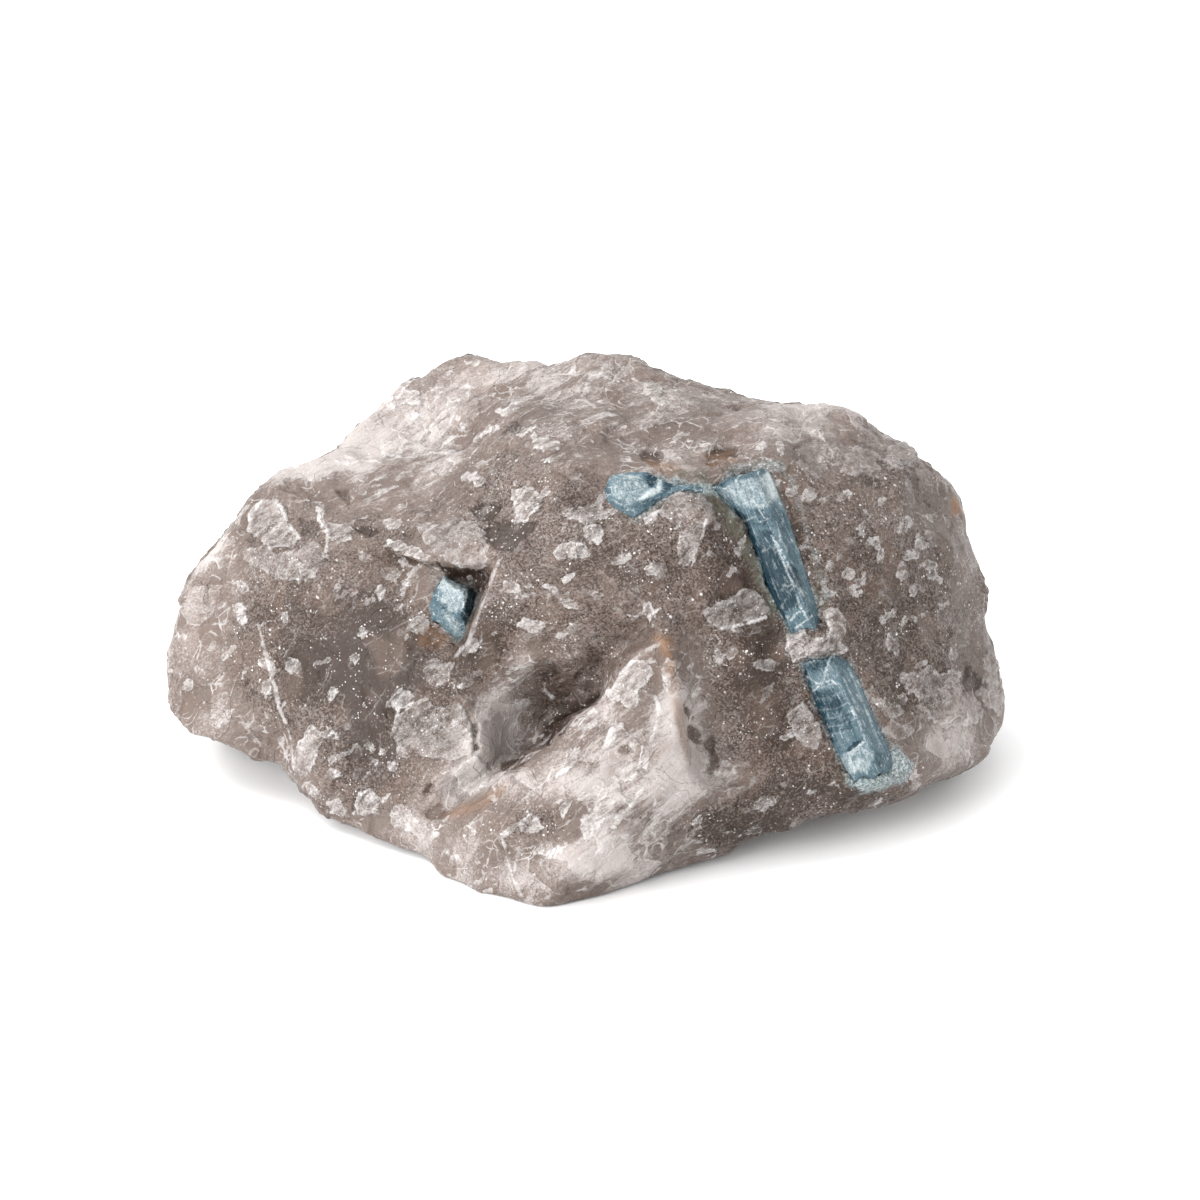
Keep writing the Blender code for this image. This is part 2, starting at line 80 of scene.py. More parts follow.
# Frosted flakes and pale plates on the quartz, traced from the photograph: how white each is, from 0 to 1,
# how far it stands out in mm, and its outline in pixels
FLAKES = {
    # The back, the shelf and the top
    "back left flake": (0.9, 0.2, [
        (381, 408), (388, 398), (397, 396), (403, 385), (412, 392), (404, 402), (392, 408),
    ]),
    "back bulb": (0.8, 0.4, [(402, 396), (410, 390), (418, 390), (424, 397), (420, 405), (408, 404)]),
    "back drop": (1.0, 0.2, [(411, 416), (416, 411), (421, 414), (419, 421), (413, 421)]),
    "back ridge": (0.8, 0.3, [
        (440, 445), (452, 438), (462, 425), (468, 418), (466, 427), (458, 437), (450, 444),
    ]),
    "shelf back flakes": (0.7, 0.3, [
        (378, 445), (390, 440), (410, 438), (425, 446), (440, 448), (462, 452), (458, 458), (430, 456),
        (400, 459), (380, 456),
    ]),
    "first streak": (0.8, 0.15, [(475, 440), (486, 430), (500, 420), (498, 426), (484, 436)]),
    "second streak": (0.9, 0.15, [(497, 412), (508, 404), (522, 400), (518, 408), (505, 416)]),
    "third streak": (0.9, 0.15, [(518, 436), (530, 430), (536, 428), (532, 434), (522, 438)]),
    "top hook": (0.9, 0.2, [
        (535, 430), (540, 441), (552, 441), (563, 440), (560, 447), (548, 450), (536, 452), (531, 438),
    ]),
    "shelf rim": (0.7, 0.2, [(461, 478), (468, 474), (478, 475), (486, 482), (480, 486), (468, 484)]),
    "top patch": (0.8, 0.1, [(600, 378), (604, 368), (611, 366), (613, 373), (609, 381)]),
    "top edge flake": (0.6, 0.1, [(580, 396), (586, 386), (592, 385), (590, 393), (583, 400)]),
    "ledge flakes": (0.7, 0.3, [
        (643, 384), (652, 379), (660, 380), (662, 392), (660, 400), (674, 403), (677, 408), (665, 406),
        (655, 404), (648, 398),
    ]),
    "small top flake": (0.8, 0.1, [(637, 428), (642, 426), (646, 430), (642, 433)]),
    "beside the head": (0.7, 0.15, [(756, 446), (762, 440), (770, 441), (768, 447), (762, 453), (757, 452)]),
    "top drops": (0.9, 0.15, [(776, 440), (781, 441), (784, 449), (781, 456), (777, 450)]),
    # The right face
    "glassy bump": (0.35, 0.8, [
        (884, 458), (888, 448), (897, 443), (907, 448), (914, 455), (915, 463), (908, 470), (895, 471),
        (886, 467),
    ]),
    "lobed plate": (0.35, 0.4, [
        (845, 455), (855, 448), (866, 450), (880, 458), (880, 470), (874, 474), (864, 470), (858, 473),
        (848, 478), (842, 470),
    ]),
    "shield": (0.25, 0.3, [
        (797, 440), (810, 438), (826, 444), (830, 458), (824, 474), (812, 478), (800, 470),
    ]),
    "right flake 1": (0.6, 0.1, [
        (900, 526), (901, 520), (905, 517), (912, 518), (913, 522), (909, 526), (906, 533), (901, 530),
    ]),
    "right flake 2": (0.65, 0.15, [
        (901, 558), (908, 553), (914, 546), (917, 541), (925, 540), (929, 544), (927, 549), (921, 551),
        (918, 557), (908, 560),
    ]),
    "right flake 3": (0.65, 0.1, [(918, 566), (925, 561), (933, 562), (935, 565), (930, 569), (922, 568)]),
    "right flake 4": (0.8, 0.1, [(897, 573), (900, 569), (907, 570), (909, 575), (904, 578), (898, 576)]),
    "right flake 5": (0.5, 0.1, [(922, 516), (927, 513), (933, 516), (932, 522), (926, 521)]),
    "right flake 6": (0.5, 0.1, [(921, 537), (926, 533), (931, 534), (929, 538), (923, 540)]),
    "right flake 7": (0.65, 0.1, [
        (878, 620), (880, 615), (886, 611), (894, 612), (898, 618), (893, 619), (888, 618), (886, 624),
        (879, 625),
    ]),
    "right flake 8": (0.6, 0.1, [
        (901, 620), (906, 616), (914, 615), (916, 619), (908, 623), (905, 630), (902, 625),
    ]),
    "right flake 9": (0.55, 0.1, [(842, 574), (846, 569), (853, 570), (854, 576), (848, 578)]),
    "right flake 10": (0.65, 0.15, [(800, 492), (805, 487), (813, 489), (817, 495), (813, 501), (804, 499)]),
    "right flake 11": (0.9, 0.1, [(842, 490), (848, 488), (853, 492), (851, 496), (846, 497)]),
    "right flake 12": (0.5, 0.1, [(928, 573), (935, 573), (943, 579), (941, 583), (934, 580)]),
    "right ring": (0.5, 0.15, [(945, 657), (948, 649), (956, 648), (960, 653), (957, 660), (948, 661)]),
    "right plate": (0.6, 0.35, [
        (899, 683), (902, 675), (910, 670), (918, 671), (925, 667), (934, 669), (942, 674), (950, 672),
        (958, 668), (962, 674), (958, 684), (964, 694), (980, 700), (985, 712), (975, 724), (955, 728),
        (935, 724), (922, 717), (914, 706), (918, 698), (908, 690),
    ]),
    "right edge plate": (0.45, 0.25, [
        (980, 662), (988, 650), (997, 670), (1003, 700), (1000, 718), (985, 705), (975, 692), (984, 680),
    ]),
    "net of grains 1": (0.5, 0.1, [(884, 642), (890, 637), (898, 640), (899, 650), (895, 656), (887, 650)]),
    "net of grains 2": (0.45, 0.1, [(878, 705), (886, 700), (897, 704), (901, 712), (893, 718), (882, 714)]),
    "net of grains 3": (0.45, 0.1, [(884, 728), (892, 722), (905, 724), (913, 732), (905, 738), (890, 737)]),
    # The middle
    "middle flake 1": (0.85, 0.15, [
        (584, 527), (592, 524), (599, 524), (603, 531), (601, 541), (596, 545), (588, 538), (583, 534),
    ]),
    "middle flake 2": (0.6, 0.1, [
        (560, 514), (568, 508), (580, 505), (592, 507), (600, 514), (598, 521), (588, 524), (575, 521),
        (566, 520),
    ]),
    "middle flake 3": (0.9, 0.3, [
        (512, 490), (524, 486), (536, 490), (542, 497), (538, 510), (525, 518), (512, 525), (517, 512),
        (510, 500),
    ]),
    "middle flake 4": (0.8, 0.15, [
        (553, 553), (559, 545), (573, 541), (586, 546), (588, 555), (575, 560), (560, 561),
    ]),
    "middle flake 5": (0.7, 0.1, [
        (545, 586), (554, 585), (563, 596), (578, 603), (579, 609), (567, 608), (556, 598),
    ]),
    "middle flake 6": (0.6, 0.1, [(502, 587), (508, 581), (516, 583), (521, 590), (517, 594), (509, 593)]),
    "middle flake 7": (0.7, 0.1, [
        (515, 624), (522, 617), (532, 619), (543, 624), (545, 630), (534, 633), (521, 632),
    ]),
    "middle flake 8": (0.6, 0.1, [
        (407, 626), (414, 617), (424, 616), (430, 622), (428, 630), (418, 634), (409, 632),
    ]),
    "middle flake 9": (0.7, 0.1, [(642, 603), (652, 600), (654, 610), (657, 618), (648, 617), (640, 613)]),
    "middle flake 10": (0.8, 0.15, [(645, 505), (654, 502), (658, 510), (656, 521), (649, 516)]),
    "middle chain": (0.6, 0.1, [
        (615, 606), (622, 609), (630, 614), (640, 615), (640, 617), (628, 617), (618, 612),
    ]),
    "frosted patch": (0.45, 0.3, [
        (662, 500), (680, 492), (700, 496), (712, 505), (718, 518), (712, 524), (700, 528), (684, 526),
        (670, 522), (662, 515),
    ]),
    "pale streak": (0.55, 0.2, [
        (706, 522), (700, 545), (695, 560), (688, 567), (680, 563), (677, 548), (680, 530), (692, 520),
    ]),
    "large plate": (0.5, 0.35, [
        (703, 612), (715, 603), (730, 598), (740, 591), (752, 590), (762, 596), (769, 602), (770, 612),
        (764, 619), (754, 622), (745, 624), (735, 627), (722, 629), (712, 624),
    ]),
    "drop under it": (0.7, 0.15, [(728, 626), (738, 624), (743, 629), (740, 635), (731, 633)]),
    "middle flake 11": (0.6, 0.1, [(712, 650), (718, 648), (725, 655), (724, 664), (717, 666), (713, 658)]),
    "middle flake 12": (0.5, 0.1, [
        (748, 662), (758, 658), (770, 658), (778, 662), (775, 670), (762, 672), (755, 668),
    ]),
    "middle ring": (0.6, 0.1, [(729, 648), (733, 644), (737, 648), (735, 654), (730, 653)]),
    "shell": (0.55, 0.4, [
        (786, 712), (792, 705), (802, 704), (812, 712), (820, 724), (824, 738), (818, 750), (806, 746),
        (796, 734), (788, 724),
    ]),
    # The left
    "frosted triangle": (0.6, 0.35, [
        (252, 505), (262, 499), (276, 500), (284, 510), (288, 521), (295, 532), (300, 541), (294, 547),
        (278, 549), (262, 544), (255, 537), (246, 531), (249, 518),
    ]),
    "rounded plate": (0.45, 0.3, [
        (238, 553), (246, 545), (262, 546), (278, 552), (296, 549), (318, 543), (326, 552), (328, 560),
        (322, 566), (320, 573), (308, 581), (292, 582), (278, 578), (266, 574), (254, 567),
    ]),
    "shelf flake": (0.6, 0.15, [
        (322, 525), (335, 521), (346, 523), (353, 530), (350, 539), (338, 541), (328, 538),
    ]),
    "shelf streak": (0.8, 0.15, [
        (318, 508), (325, 510), (324, 520), (332, 530), (328, 538), (322, 530), (318, 520),
    ]),
    "slab flake 1": (0.9, 0.2, [
        (388, 542), (400, 541), (416, 547), (426, 554), (420, 560), (405, 556), (394, 550),
    ]),
    "slab flake 2": (0.7, 0.2, [(380, 520), (392, 518), (405, 522), (398, 530), (385, 528)]),
    "pale slab": (0.5, 0.3, [
        (418, 530), (440, 524), (462, 519), (476, 522), (483, 530), (487, 545), (486, 560), (478, 570),
        (463, 567), (450, 562), (438, 555), (425, 545),
    ]),
    "quartz grain": (0.95, 0.2, [
        (233, 606), (240, 604), (246, 611), (249, 620), (244, 630), (238, 625), (233, 616),
    ]),
    "left dot 1": (0.5, 0.1, [(278, 618), (281, 612), (287, 612), (291, 618), (287, 624), (281, 624)]),
    "left dot 2": (0.6, 0.1, [(237, 586), (241, 581), (248, 583), (249, 590), (243, 594)]),
    "left dot 3": (0.7, 0.1, [(375, 592), (378, 584), (384, 588), (385, 596), (380, 601)]),
    "left flake 4": (0.6, 0.1, [(284, 662), (290, 658), (298, 661), (299, 672), (292, 678), (286, 673)]),
    "left flake 5": (0.8, 0.1, [(328, 698), (332, 690), (338, 690), (337, 700), (332, 704)]),
    "crack flake 1": (0.7, 0.15, [(258, 660), (266, 659), (272, 663), (275, 669), (268, 670), (260, 667)]),
    "crack flake 2": (0.6, 0.1, [(260, 682), (268, 680), (272, 688), (266, 696), (260, 694)]),
    "wedge": (0.6, 0.1, [(250, 730), (258, 722), (266, 726), (272, 735), (262, 733)]),
    "bright plate": (0.8, 0.3, [
        (290, 752), (298, 745), (304, 733), (308, 727), (315, 726), (322, 730), (332, 727), (337, 735),
        (341, 742), (334, 740), (325, 741), (319, 748), (318, 760), (312, 770), (300, 777), (290, 770),
    ]),
    "edge drop": (0.9, 0.2, [(304, 781), (312, 783), (319, 790), (320, 798), (313, 796), (306, 789)]),
    "edge patch": (0.6, 0.15, [(324, 802), (334, 799), (345, 806), (352, 817), (342, 818), (330, 811)]),
    "low flake 1": (0.85, 0.2, [
        (357, 806), (362, 793), (370, 790), (379, 796), (378, 812), (368, 819), (360, 815),
    ]),
    "low flake 2": (0.75, 0.2, [
        (388, 812), (398, 806), (410, 810), (418, 822), (412, 834), (400, 828), (390, 824),
    ]),
    "low flake 3": (0.8, 0.1, [(327, 772), (333, 767), (341, 770), (339, 776), (331, 777)]),
    "low flake 4": (0.6, 0.1, [(384, 768), (388, 761), (395, 762), (397, 769), (390, 772)]),
    "low flake 5": (0.7, 0.1, [(371, 762), (374, 756), (380, 758), (380, 765), (375, 767)]),
    "slab top": (0.8, 0.25, [
        (390, 705), (395, 695), (402, 687), (410, 692), (416, 700), (412, 706), (403, 708), (398, 716),
    ]),
    "bright slab": (0.5, 0.35, [
        (398, 716), (410, 706), (425, 698), (438, 706), (452, 709), (460, 703), (466, 712), (472, 728),
        (474, 745), (466, 756), (450, 760), (425, 758), (405, 756), (396, 745), (392, 730),
    ]),
    "slab heart": (0.8, 0.45, [(396, 740), (408, 737), (418, 740), (416, 750), (408, 758), (399, 752)]),
    "slab right edge": (0.9, 0.45, [
        (458, 704), (466, 708), (470, 722), (476, 742), (470, 756), (462, 748), (460, 725),
    ]),
    "rounded form": (0.6, 0.4, [
        (462, 762), (475, 757), (488, 764), (490, 778), (480, 790), (468, 796), (458, 786), (456, 772),
    ]),
    "above the slab": (0.4, 0.15, [
        (424, 670), (436, 666), (450, 660), (456, 668), (448, 680), (436, 690), (426, 684),
    ]),
    "behind the slab": (0.5, 0.15, [(480, 712), (486, 704), (493, 712), (492, 722), (484, 720)]),
    "hollow flake": (0.9, 0.1, [(545, 690), (553, 694), (556, 699), (550, 701), (546, 696)]),
    # The foot
    "foot crown": (0.9, 0.3, [
        (606, 695), (612, 682), (622, 672), (632, 662), (643, 660), (650, 667), (655, 675), (648, 680),
        (640, 690), (640, 705), (630, 712), (620, 700), (612, 700),
    ]),
    "foot crown right": (0.8, 0.2, [(661, 665), (668, 655), (675, 668), (676, 680), (668, 690), (661, 680)]),
    "foot tongue 1": (0.9, 0.2, [
        (598, 748), (606, 737), (616, 727), (624, 722), (620, 735), (610, 748), (602, 753),
    ]),
    "foot tongue 2": (0.9, 0.2, [(563, 765), (572, 752), (580, 745), (576, 760), (568, 772), (556, 775)]),
    "foot plate left": (0.8, 0.15, [(580, 726), (590, 712), (600, 706), (598, 722), (592, 730), (583, 732)]),
    "foot plate": (0.8, 0.35, [
        (583, 820), (596, 800), (602, 788), (612, 780), (618, 775), (622, 790), (628, 800), (618, 812),
        (606, 824), (596, 836), (585, 840),
    ]),
    "foot sparkle": (0.9, 0.15, [
        (610, 826), (616, 815), (625, 808), (630, 797), (640, 790), (648, 780), (650, 786), (640, 798),
        (630, 812), (622, 818), (616, 828),
    ]),
    "foot flake 1": (0.7, 0.15, [(520, 824), (530, 814), (540, 820), (545, 828), (535, 832), (524, 830)]),
    "foot flake 2": (0.7, 0.15, [(618, 765), (630, 760), (640, 768), (636, 778), (624, 785), (618, 778)]),
    "foot flake 3": (0.9, 0.1, [(650, 742), (654, 733), (657, 745), (653, 756)]),
    # The underside
    "bevel flake 1": (0.6, 0.15, [
        (750, 806), (756, 799), (762, 796), (778, 797), (776, 803), (764, 806), (754, 811),
    ]),
    "bevel flake 2": (0.45, 0.1, [(680, 847), (686, 840), (694, 839), (700, 842), (692, 848), (684, 851)]),
    "bevel flake 3": (0.4, 0.1, [(742, 836), (750, 829), (758, 826), (764, 827), (758, 832), (748, 838)]),
    "bevel flake 4": (0.45, 0.1, [(724, 793), (732, 787), (742, 787), (738, 794), (728, 799)]),
    "bevel flake 5": (0.45, 0.1, [(722, 776), (730, 770), (740, 772), (738, 780), (728, 782)]),
    "pit rim": (0.5, 0.1, [(716, 762), (722, 758), (730, 762), (740, 768), (732, 770), (722, 767)]),
    "pit grain": (0.45, 0.15, [(702, 772), (704, 756), (709, 755), (712, 766), (711, 775), (705, 776)]),
    # The band that crosses the large crystal
    "quartz band": (0.75, 0.1, [
        (788, 637), (800, 632), (814, 635), (827, 636), (833, 625), (840, 618), (846, 624), (843, 640),
        (849, 650), (845, 655), (825, 654), (803, 656), (793, 664), (787, 650),
    ]),
    "band arm": (0.7, 0.1, [(826, 611), (836, 608), (846, 620), (843, 634), (833, 634), (828, 622)]),
}

# Recesses with painted shade: how dark the painted shade in each is, how deep it is cut in mm, and its
# outline. The gaps, hollows and places under overhangs are darkened in colour to stand in for their shade.
RECESSES_WITH_PAINTED_SHADE = {
    "hole in the band": (1.0, 0.5, [(814, 619), (820, 617), (826, 624), (828, 632), (822, 634), (817, 628)]),
    "over the side crystal": (0.55, 0.1, [
        (640, 456), (660, 460), (675, 467), (690, 471), (672, 475), (650, 466),
    ]),
    "beside the upper prism": (0.6, 0.1, [
        (778, 482), (784, 480), (792, 505), (800, 530), (812, 556), (806, 562), (796, 540), (786, 512),
        (780, 496),
    ]),
    "beside the small crystal": (0.5, 0.1, [
        (470, 580), (482, 566), (494, 566), (490, 582), (480, 592), (472, 588),
    ]),
    "pit in the frost": (0.7, 0.6, [(272, 545), (278, 541), (288, 541), (297, 546), (289, 549), (278, 550)]),
    "shelf recess 1": (0.8, 0.5, [
        (352, 524), (362, 522), (372, 524), (379, 530), (375, 536), (362, 535), (354, 531),
    ]),
    "shelf recess 2": (0.5, 0.3, [(300, 520), (318, 519), (322, 530), (318, 539), (304, 540), (300, 530)]),
    "shelf recess 3": (0.7, 0.4, [(393, 531), (405, 530), (414, 535), (408, 540), (396, 538)]),
    "shelf recess 4": (0.5, 0.4, [(335, 488), (345, 486), (352, 496), (350, 505), (340, 500)]),
    "shelf recess 5": (0.4, 0.3, [(283, 480), (300, 476), (312, 482), (300, 488), (286, 487)]),
    "shelf recess 6": (0.8, 0.5, [(470, 508), (482, 504), (497, 503), (500, 509), (488, 520), (478, 521)]),
    "shelf recess 7": (0.7, 0.5, [
        (480, 530), (492, 522), (515, 521), (540, 520), (532, 534), (520, 539), (512, 550), (498, 548),
        (488, 541),
    ]),
    "over the small crystal": (1.0, 0.3, [
        (432, 562), (448, 568), (462, 573), (478, 566), (484, 560), (486, 572), (478, 583), (468, 582),
        (455, 580), (440, 570),
    ]),
    "under the slab": (0.8, 0.2, [
        (385, 546), (400, 556), (418, 562), (432, 563), (440, 572), (425, 570), (405, 566), (388, 557),
    ]),
    "under the small crystal": (0.9, 0.3, [
        (403, 643), (412, 628), (425, 624), (437, 624), (444, 632), (440, 640), (425, 648), (410, 652),
    ]),
    "top recess 1": (0.8, 0.5, [(636, 452), (646, 446), (660, 450), (666, 462), (656, 467), (642, 458)]),
    "top recess 2": (0.8, 0.5, [
        (706, 464), (708, 450), (720, 446), (741, 447), (737, 456), (722, 462), (712, 469),
    ]),
    "top recess 3": (0.5, 0.3, [(498, 428), (510, 420), (525, 424), (520, 434), (505, 436)]),
    "slab void": (0.9, 0.8, [(473, 725), (478, 722), (480, 732), (479, 748), (474, 750), (472, 738)]),
    "low void": (0.9, 0.6, [(420, 792), (424, 784), (432, 783), (430, 795), (424, 800)]),
    "low recess": (0.6, 0.4, [(425, 812), (440, 802), (452, 806), (450, 812), (438, 818), (427, 818)]),
    "foot pit 1": (0.8, 0.4, [
        (684, 704), (690, 708), (694, 718), (688, 724), (700, 730), (702, 744), (692, 742), (686, 730),
    ]),
    "foot pit 2": (0.6, 0.3, [
        (702, 742), (712, 738), (716, 752), (722, 765), (712, 780), (704, 772), (708, 755),
    ]),
    "foot nick": (0.6, 0.3, [(620, 747), (626, 744), (630, 749), (627, 754), (621, 753)]),
    "toe smudge": (0.35, 0.1, [(525, 848), (535, 840), (545, 848), (540, 862), (528, 860)]),
    "hollow floor": (0.9, 0.2, [
        (500, 762), (512, 757), (530, 752), (536, 757), (522, 766), (508, 772), (500, 772),
    ]),
    "hollow back": (0.8, 0.2, [
        (540, 735), (548, 720), (560, 705), (580, 700), (600, 690), (604, 700), (580, 712), (565, 728),
        (550, 745), (542, 748),
    ]),
    "hollow top": (0.35, 0.2, [(535, 668), (546, 660), (556, 664), (558, 674), (548, 680), (538, 676)]),
    "beside the right plate": (0.5, 0.2, [
        (962, 668), (970, 665), (985, 680), (987, 687), (975, 695), (965, 692),
    ]),
    "under the lobed plate": (0.4, 0.2, [
        (850, 480), (860, 474), (872, 474), (882, 478), (880, 488), (862, 490),
    ]),
}

# Bright edges and healed cracks: how white each is, its width in pixels, and its course
BRIGHT_LINES = {
    "left crack": (0.6, 3, [
        (258, 625), (262, 640), (270, 670), (276, 690), (280, 710), (287, 725), (292, 745), (290, 757),
    ]),
    "lip": (0.45, 3.5, [(499, 560), (492, 578), (484, 600), (477, 620), (469, 641), (455, 656)]),
    "foot crease": (0.7, 4, [(640, 690), (656, 698), (660, 710), (655, 730), (648, 750), (645, 768)]),
    "foot rim": (0.6, 4, [(600, 701), (612, 690), (622, 672), (640, 655), (662, 642), (668, 650)]),
    "edge of the pale streak": (1.0, 3, [(706, 520), (700, 545), (692, 566)]),
    "edge of the large plate": (1.0, 3, [(722, 629), (745, 624), (766, 618)]),
    "toe line 1": (0.8, 3, [(503, 840), (507, 855), (513, 880), (522, 897)]),
    "toe line 2": (0.7, 2.5, [(519, 848), (516, 862), (514, 872)]),
    "frosted left edge": (0.9, 4, [(250, 528), (252, 515), (262, 503)]),
    "frosted right edge": (0.9, 3.5, [(280, 507), (288, 521), (300, 540)]),
    "shelf line": (0.7, 3, [(318, 520), (330, 532), (326, 552), (330, 560)]),
    "wedge line": (0.6, 2.5, [(240, 716), (246, 728), (262, 746)]),
    "back line": (0.7, 3, [(345, 456), (365, 460), (400, 458)]),
}

# Large pale and dark zones: how pale, from -1 to 1, the middle and the reach in pixels. They are partly the
# quartz's own tone and partly painted light and shade: the underside, the right face and the places under
# overhangs carry painted shade, while the top, the left end, the foot and the hollow with its surroundings
# carry painted light.
TONE_AND_PAINTED_LIGHT_ZONES = {
    # partly painted light, standing in for light through the thin left end
    "left end": (0.55, (195, 650), (45, 90)),
    "left end low": (0.30, (230, 725), (50, 30)),
    "upper left back": (0.75, (400, 415), (60, 45)),
    "upper left peak": (0.40, (470, 370), (80, 25)),
    "left upper face": (0.10, (270, 500), (60, 35)),
    "left upper edge": (0.95, (300, 452), (70, 28)),
    "left rim": (0.55, (205, 550), (32, 45)),
    "shelf": (0.15, (400, 485), (80, 35)),
    "dark shelf": (-0.35, (490, 465), (40, 40)),
    # painted light on the top, partly the quartz's own paler tone
    "top": (0.45, (590, 375), (90, 35)),
    "whole top": (0.30, (640, 425), (260, 45)),
    "under the upper left back": (0.20, (410, 430), (45, 40)),
    "left upper ledge": (0.45, (310, 470), (70, 20)),
    "over the small crystal": (0.25, (440, 480), (30, 25)),
    "left of the small crystal": (0.60, (436, 580), (22, 40)),
    "back right": (0.35, (815, 405), (50, 25)),
    "beside the side crystal": (0.25, (660, 455), (60, 18)),
    "right shoulder": (0.40, (955, 460), (25, 30)),
    "left shoulder": (0.50, (203, 545), (25, 22)),
    "left of the core": (-0.40, (738, 595), (28, 35)),
    "left middle": (-0.50, (380, 668), (95, 30)),
    "under the slab's left": (-0.50, (400, 760), (60, 32)),
    "foot left": (-0.20, (523, 803), (40, 30)),
    "foot underside": (0.35, (650, 787), (90, 20)),
    "foot tip": (0.40, (585, 865), (45, 20)),
    "foot crest": (-0.30, (645, 685), (20, 35)),
    "over the hollow": (0.50, (522, 660), (20, 18)),
    "left of the lower prism": (-0.35, (795, 735), (60, 26)),
    "right of the lower prism": (-0.30, (915, 680), (25, 35)),
    "right low edge": (0.40, (960, 738), (24, 24)),
    "top right front": (-0.85, (768, 382), (36, 20)),
    "left of the hollow's top": (-0.80, (482, 652), (28, 24)),
    "right of the hollow's top": (-0.35, (550, 622), (36, 16)),
    "above the foot tip": (-0.35, (548, 818), (40, 20)),
    "left of the foot tip": (-0.25, (500, 862), (34, 18)),
    # painted light on the foot's underside, where little lamp light reaches
    "foot's right underside": (0.65, (712, 780), (42, 18)),
    "over the lip": (0.25, (442, 456), (28, 16)),
    "right top edge": (0.35, (962, 462), (20, 22)),
    "under the lower prism": (-0.60, (842, 792), (40, 16)),
    "foot top left": (-0.35, (602, 664), (20, 20)),
    "foot top": (0.40, (641, 662), (16, 22)),
    "left of the band": (-0.45, (764, 622), (20, 28)),
    "right of the band": (-0.35, (846, 655), (22, 24)),
    "left of the lower prism's top": (-0.35, (766, 680), (22, 30)),
    "under the low slab": (-0.30, (402, 786), (24, 18)),
    "left of the side crystal": (-0.35, (564, 500), (22, 18)),
    "top edge": (0.35, (560, 350), (90, 18)),
    "above the head": (0.30, (660, 465), (50, 25)),
    "top right": (0.60, (810, 405), (80, 40)),
    "left body": (-0.50, (340, 630), (80, 60)),
    "left body middle": (-0.45, (325, 655), (80, 50)),
    "left of the middle": (-0.65, (486, 640), (28, 40)),
    "left body low": (-0.35, (330, 695), (50, 30)),
    "left of the slab": (-0.85, (375, 675), (35, 70)),
    "low left edge": (0.35, (295, 765), (35, 35)),
    "under the left body": (-0.5, (365, 755), (28, 40)),
    "bottom left edge": (0.45, (390, 830), (50, 22)),
    "slab": (-0.35, (448, 705), (38, 42)),
    # painted light, lifting the shade beside the hollow
    "left of the hollow": (1.0, (490, 720), (34, 50)),
    "hollow": (0.40, (522, 665), (26, 26)),
    "beside the foot": (-0.4, (565, 708), (28, 24)),
    "middle": (-0.25, (590, 550), (70, 50)),
    "dark middle": (-0.25, (500, 530), (40, 25)),
    "right of the middle": (-0.20, (730, 600), (60, 90)),
    # painted shade on the right face, which faces away from the lamps
    "right face": (-0.40, (885, 610), (75, 85)),
    "between the foot and the prism": (-0.55, (762, 690), (40, 65)),
    "left of the upper prism": (-0.35, (725, 575), (35, 50)),
    "right edge": (0.35, (985, 690), (30, 60)),
    "right rim": (0.35, (960, 530), (40, 60)),
    "right low": (0.50, (950, 745), (70, 32)),
    "foot": (0.75, (605, 740), (60, 60)),
    "foot low": (0.45, (450, 855), (70, 40)),
    "above the toe": (-0.35, (525, 830), (45, 16)),
    "foot above the toe": (0.55, (570, 785), (70, 22)),
    "low slab": (0.65, (455, 780), (50, 34)),
    "under the slab": (0.65, (488, 740), (24, 40)),
    "bottom": (0.30, (520, 875), (80, 18)),
    "foot right": (1.2, (682, 735), (28, 80)),
    "foot lowest": (0.95, (610, 850), (80, 45)),
    # painted shade on the underside
    "underside": (-0.85, (740, 822), (70, 25)),
    "underside right": (-0.40, (830, 790), (75, 20)),
}

# Where the quartz is streaked: how strongly, the middle and the reach in pixels
STREAKY_ZONES = {
    "top": (0.8, (600, 420), (170, 50)),
    "upper left": (0.5, (400, 470), (90, 40)),
    "underside": (1.0, (720, 810), (120, 40)),
    "foot": (0.7, (600, 760), (60, 80)),
    "right of the hollow": (0.5, (640, 560), (80, 60)),
}

# Stains on the quartz: how strong each is and its outline
RUST_STAINS = {
    "under the slab": (0.45, [
        (440, 813), (455, 806), (475, 803), (492, 790), (502, 783), (506, 790), (482, 811), (452, 819),
    ]),
    "along the foot": (0.5, [
        (660, 640), (668, 642), (680, 690), (690, 735), (688, 758), (679, 742), (669, 690),
    ]),
    "top of the foot": (0.6, [(654, 637), (668, 634), (675, 650), (664, 653)]),
    "right rim": (0.9, [(949, 496), (962, 497), (965, 512), (953, 515)]),
    "left of the small crystal": (0.6, [(428, 598), (438, 600), (440, 616), (431, 614)]),
    "below the small crystal": (0.4, [(418, 627), (436, 622), (450, 637), (440, 650), (418, 646)]),
    "above the head": (0.4, [(700, 453), (730, 449), (736, 460), (712, 468)]),
    "above the side crystal": (0.5, [(640, 455), (672, 461), (690, 470), (670, 475), (650, 467)]),
}
OLIVE_STAINS = {
    "groove": (0.8, [
        (703, 494), (715, 494), (736, 516), (754, 546), (769, 578), (782, 612), (773, 618), (759, 586),
        (743, 553), (722, 522),
    ]),
    "above the vein": (0.7, [(670, 474), (690, 477), (708, 480), (708, 470), (690, 470), (672, 468)]),
    "right margin": (0.4, [(812, 560), (822, 575), (830, 606), (822, 612), (814, 590)]),
    "around the end": (0.5, [
        (832, 770), (845, 786), (870, 790), (892, 776), (893, 764), (870, 780), (845, 774),
    ]),
}

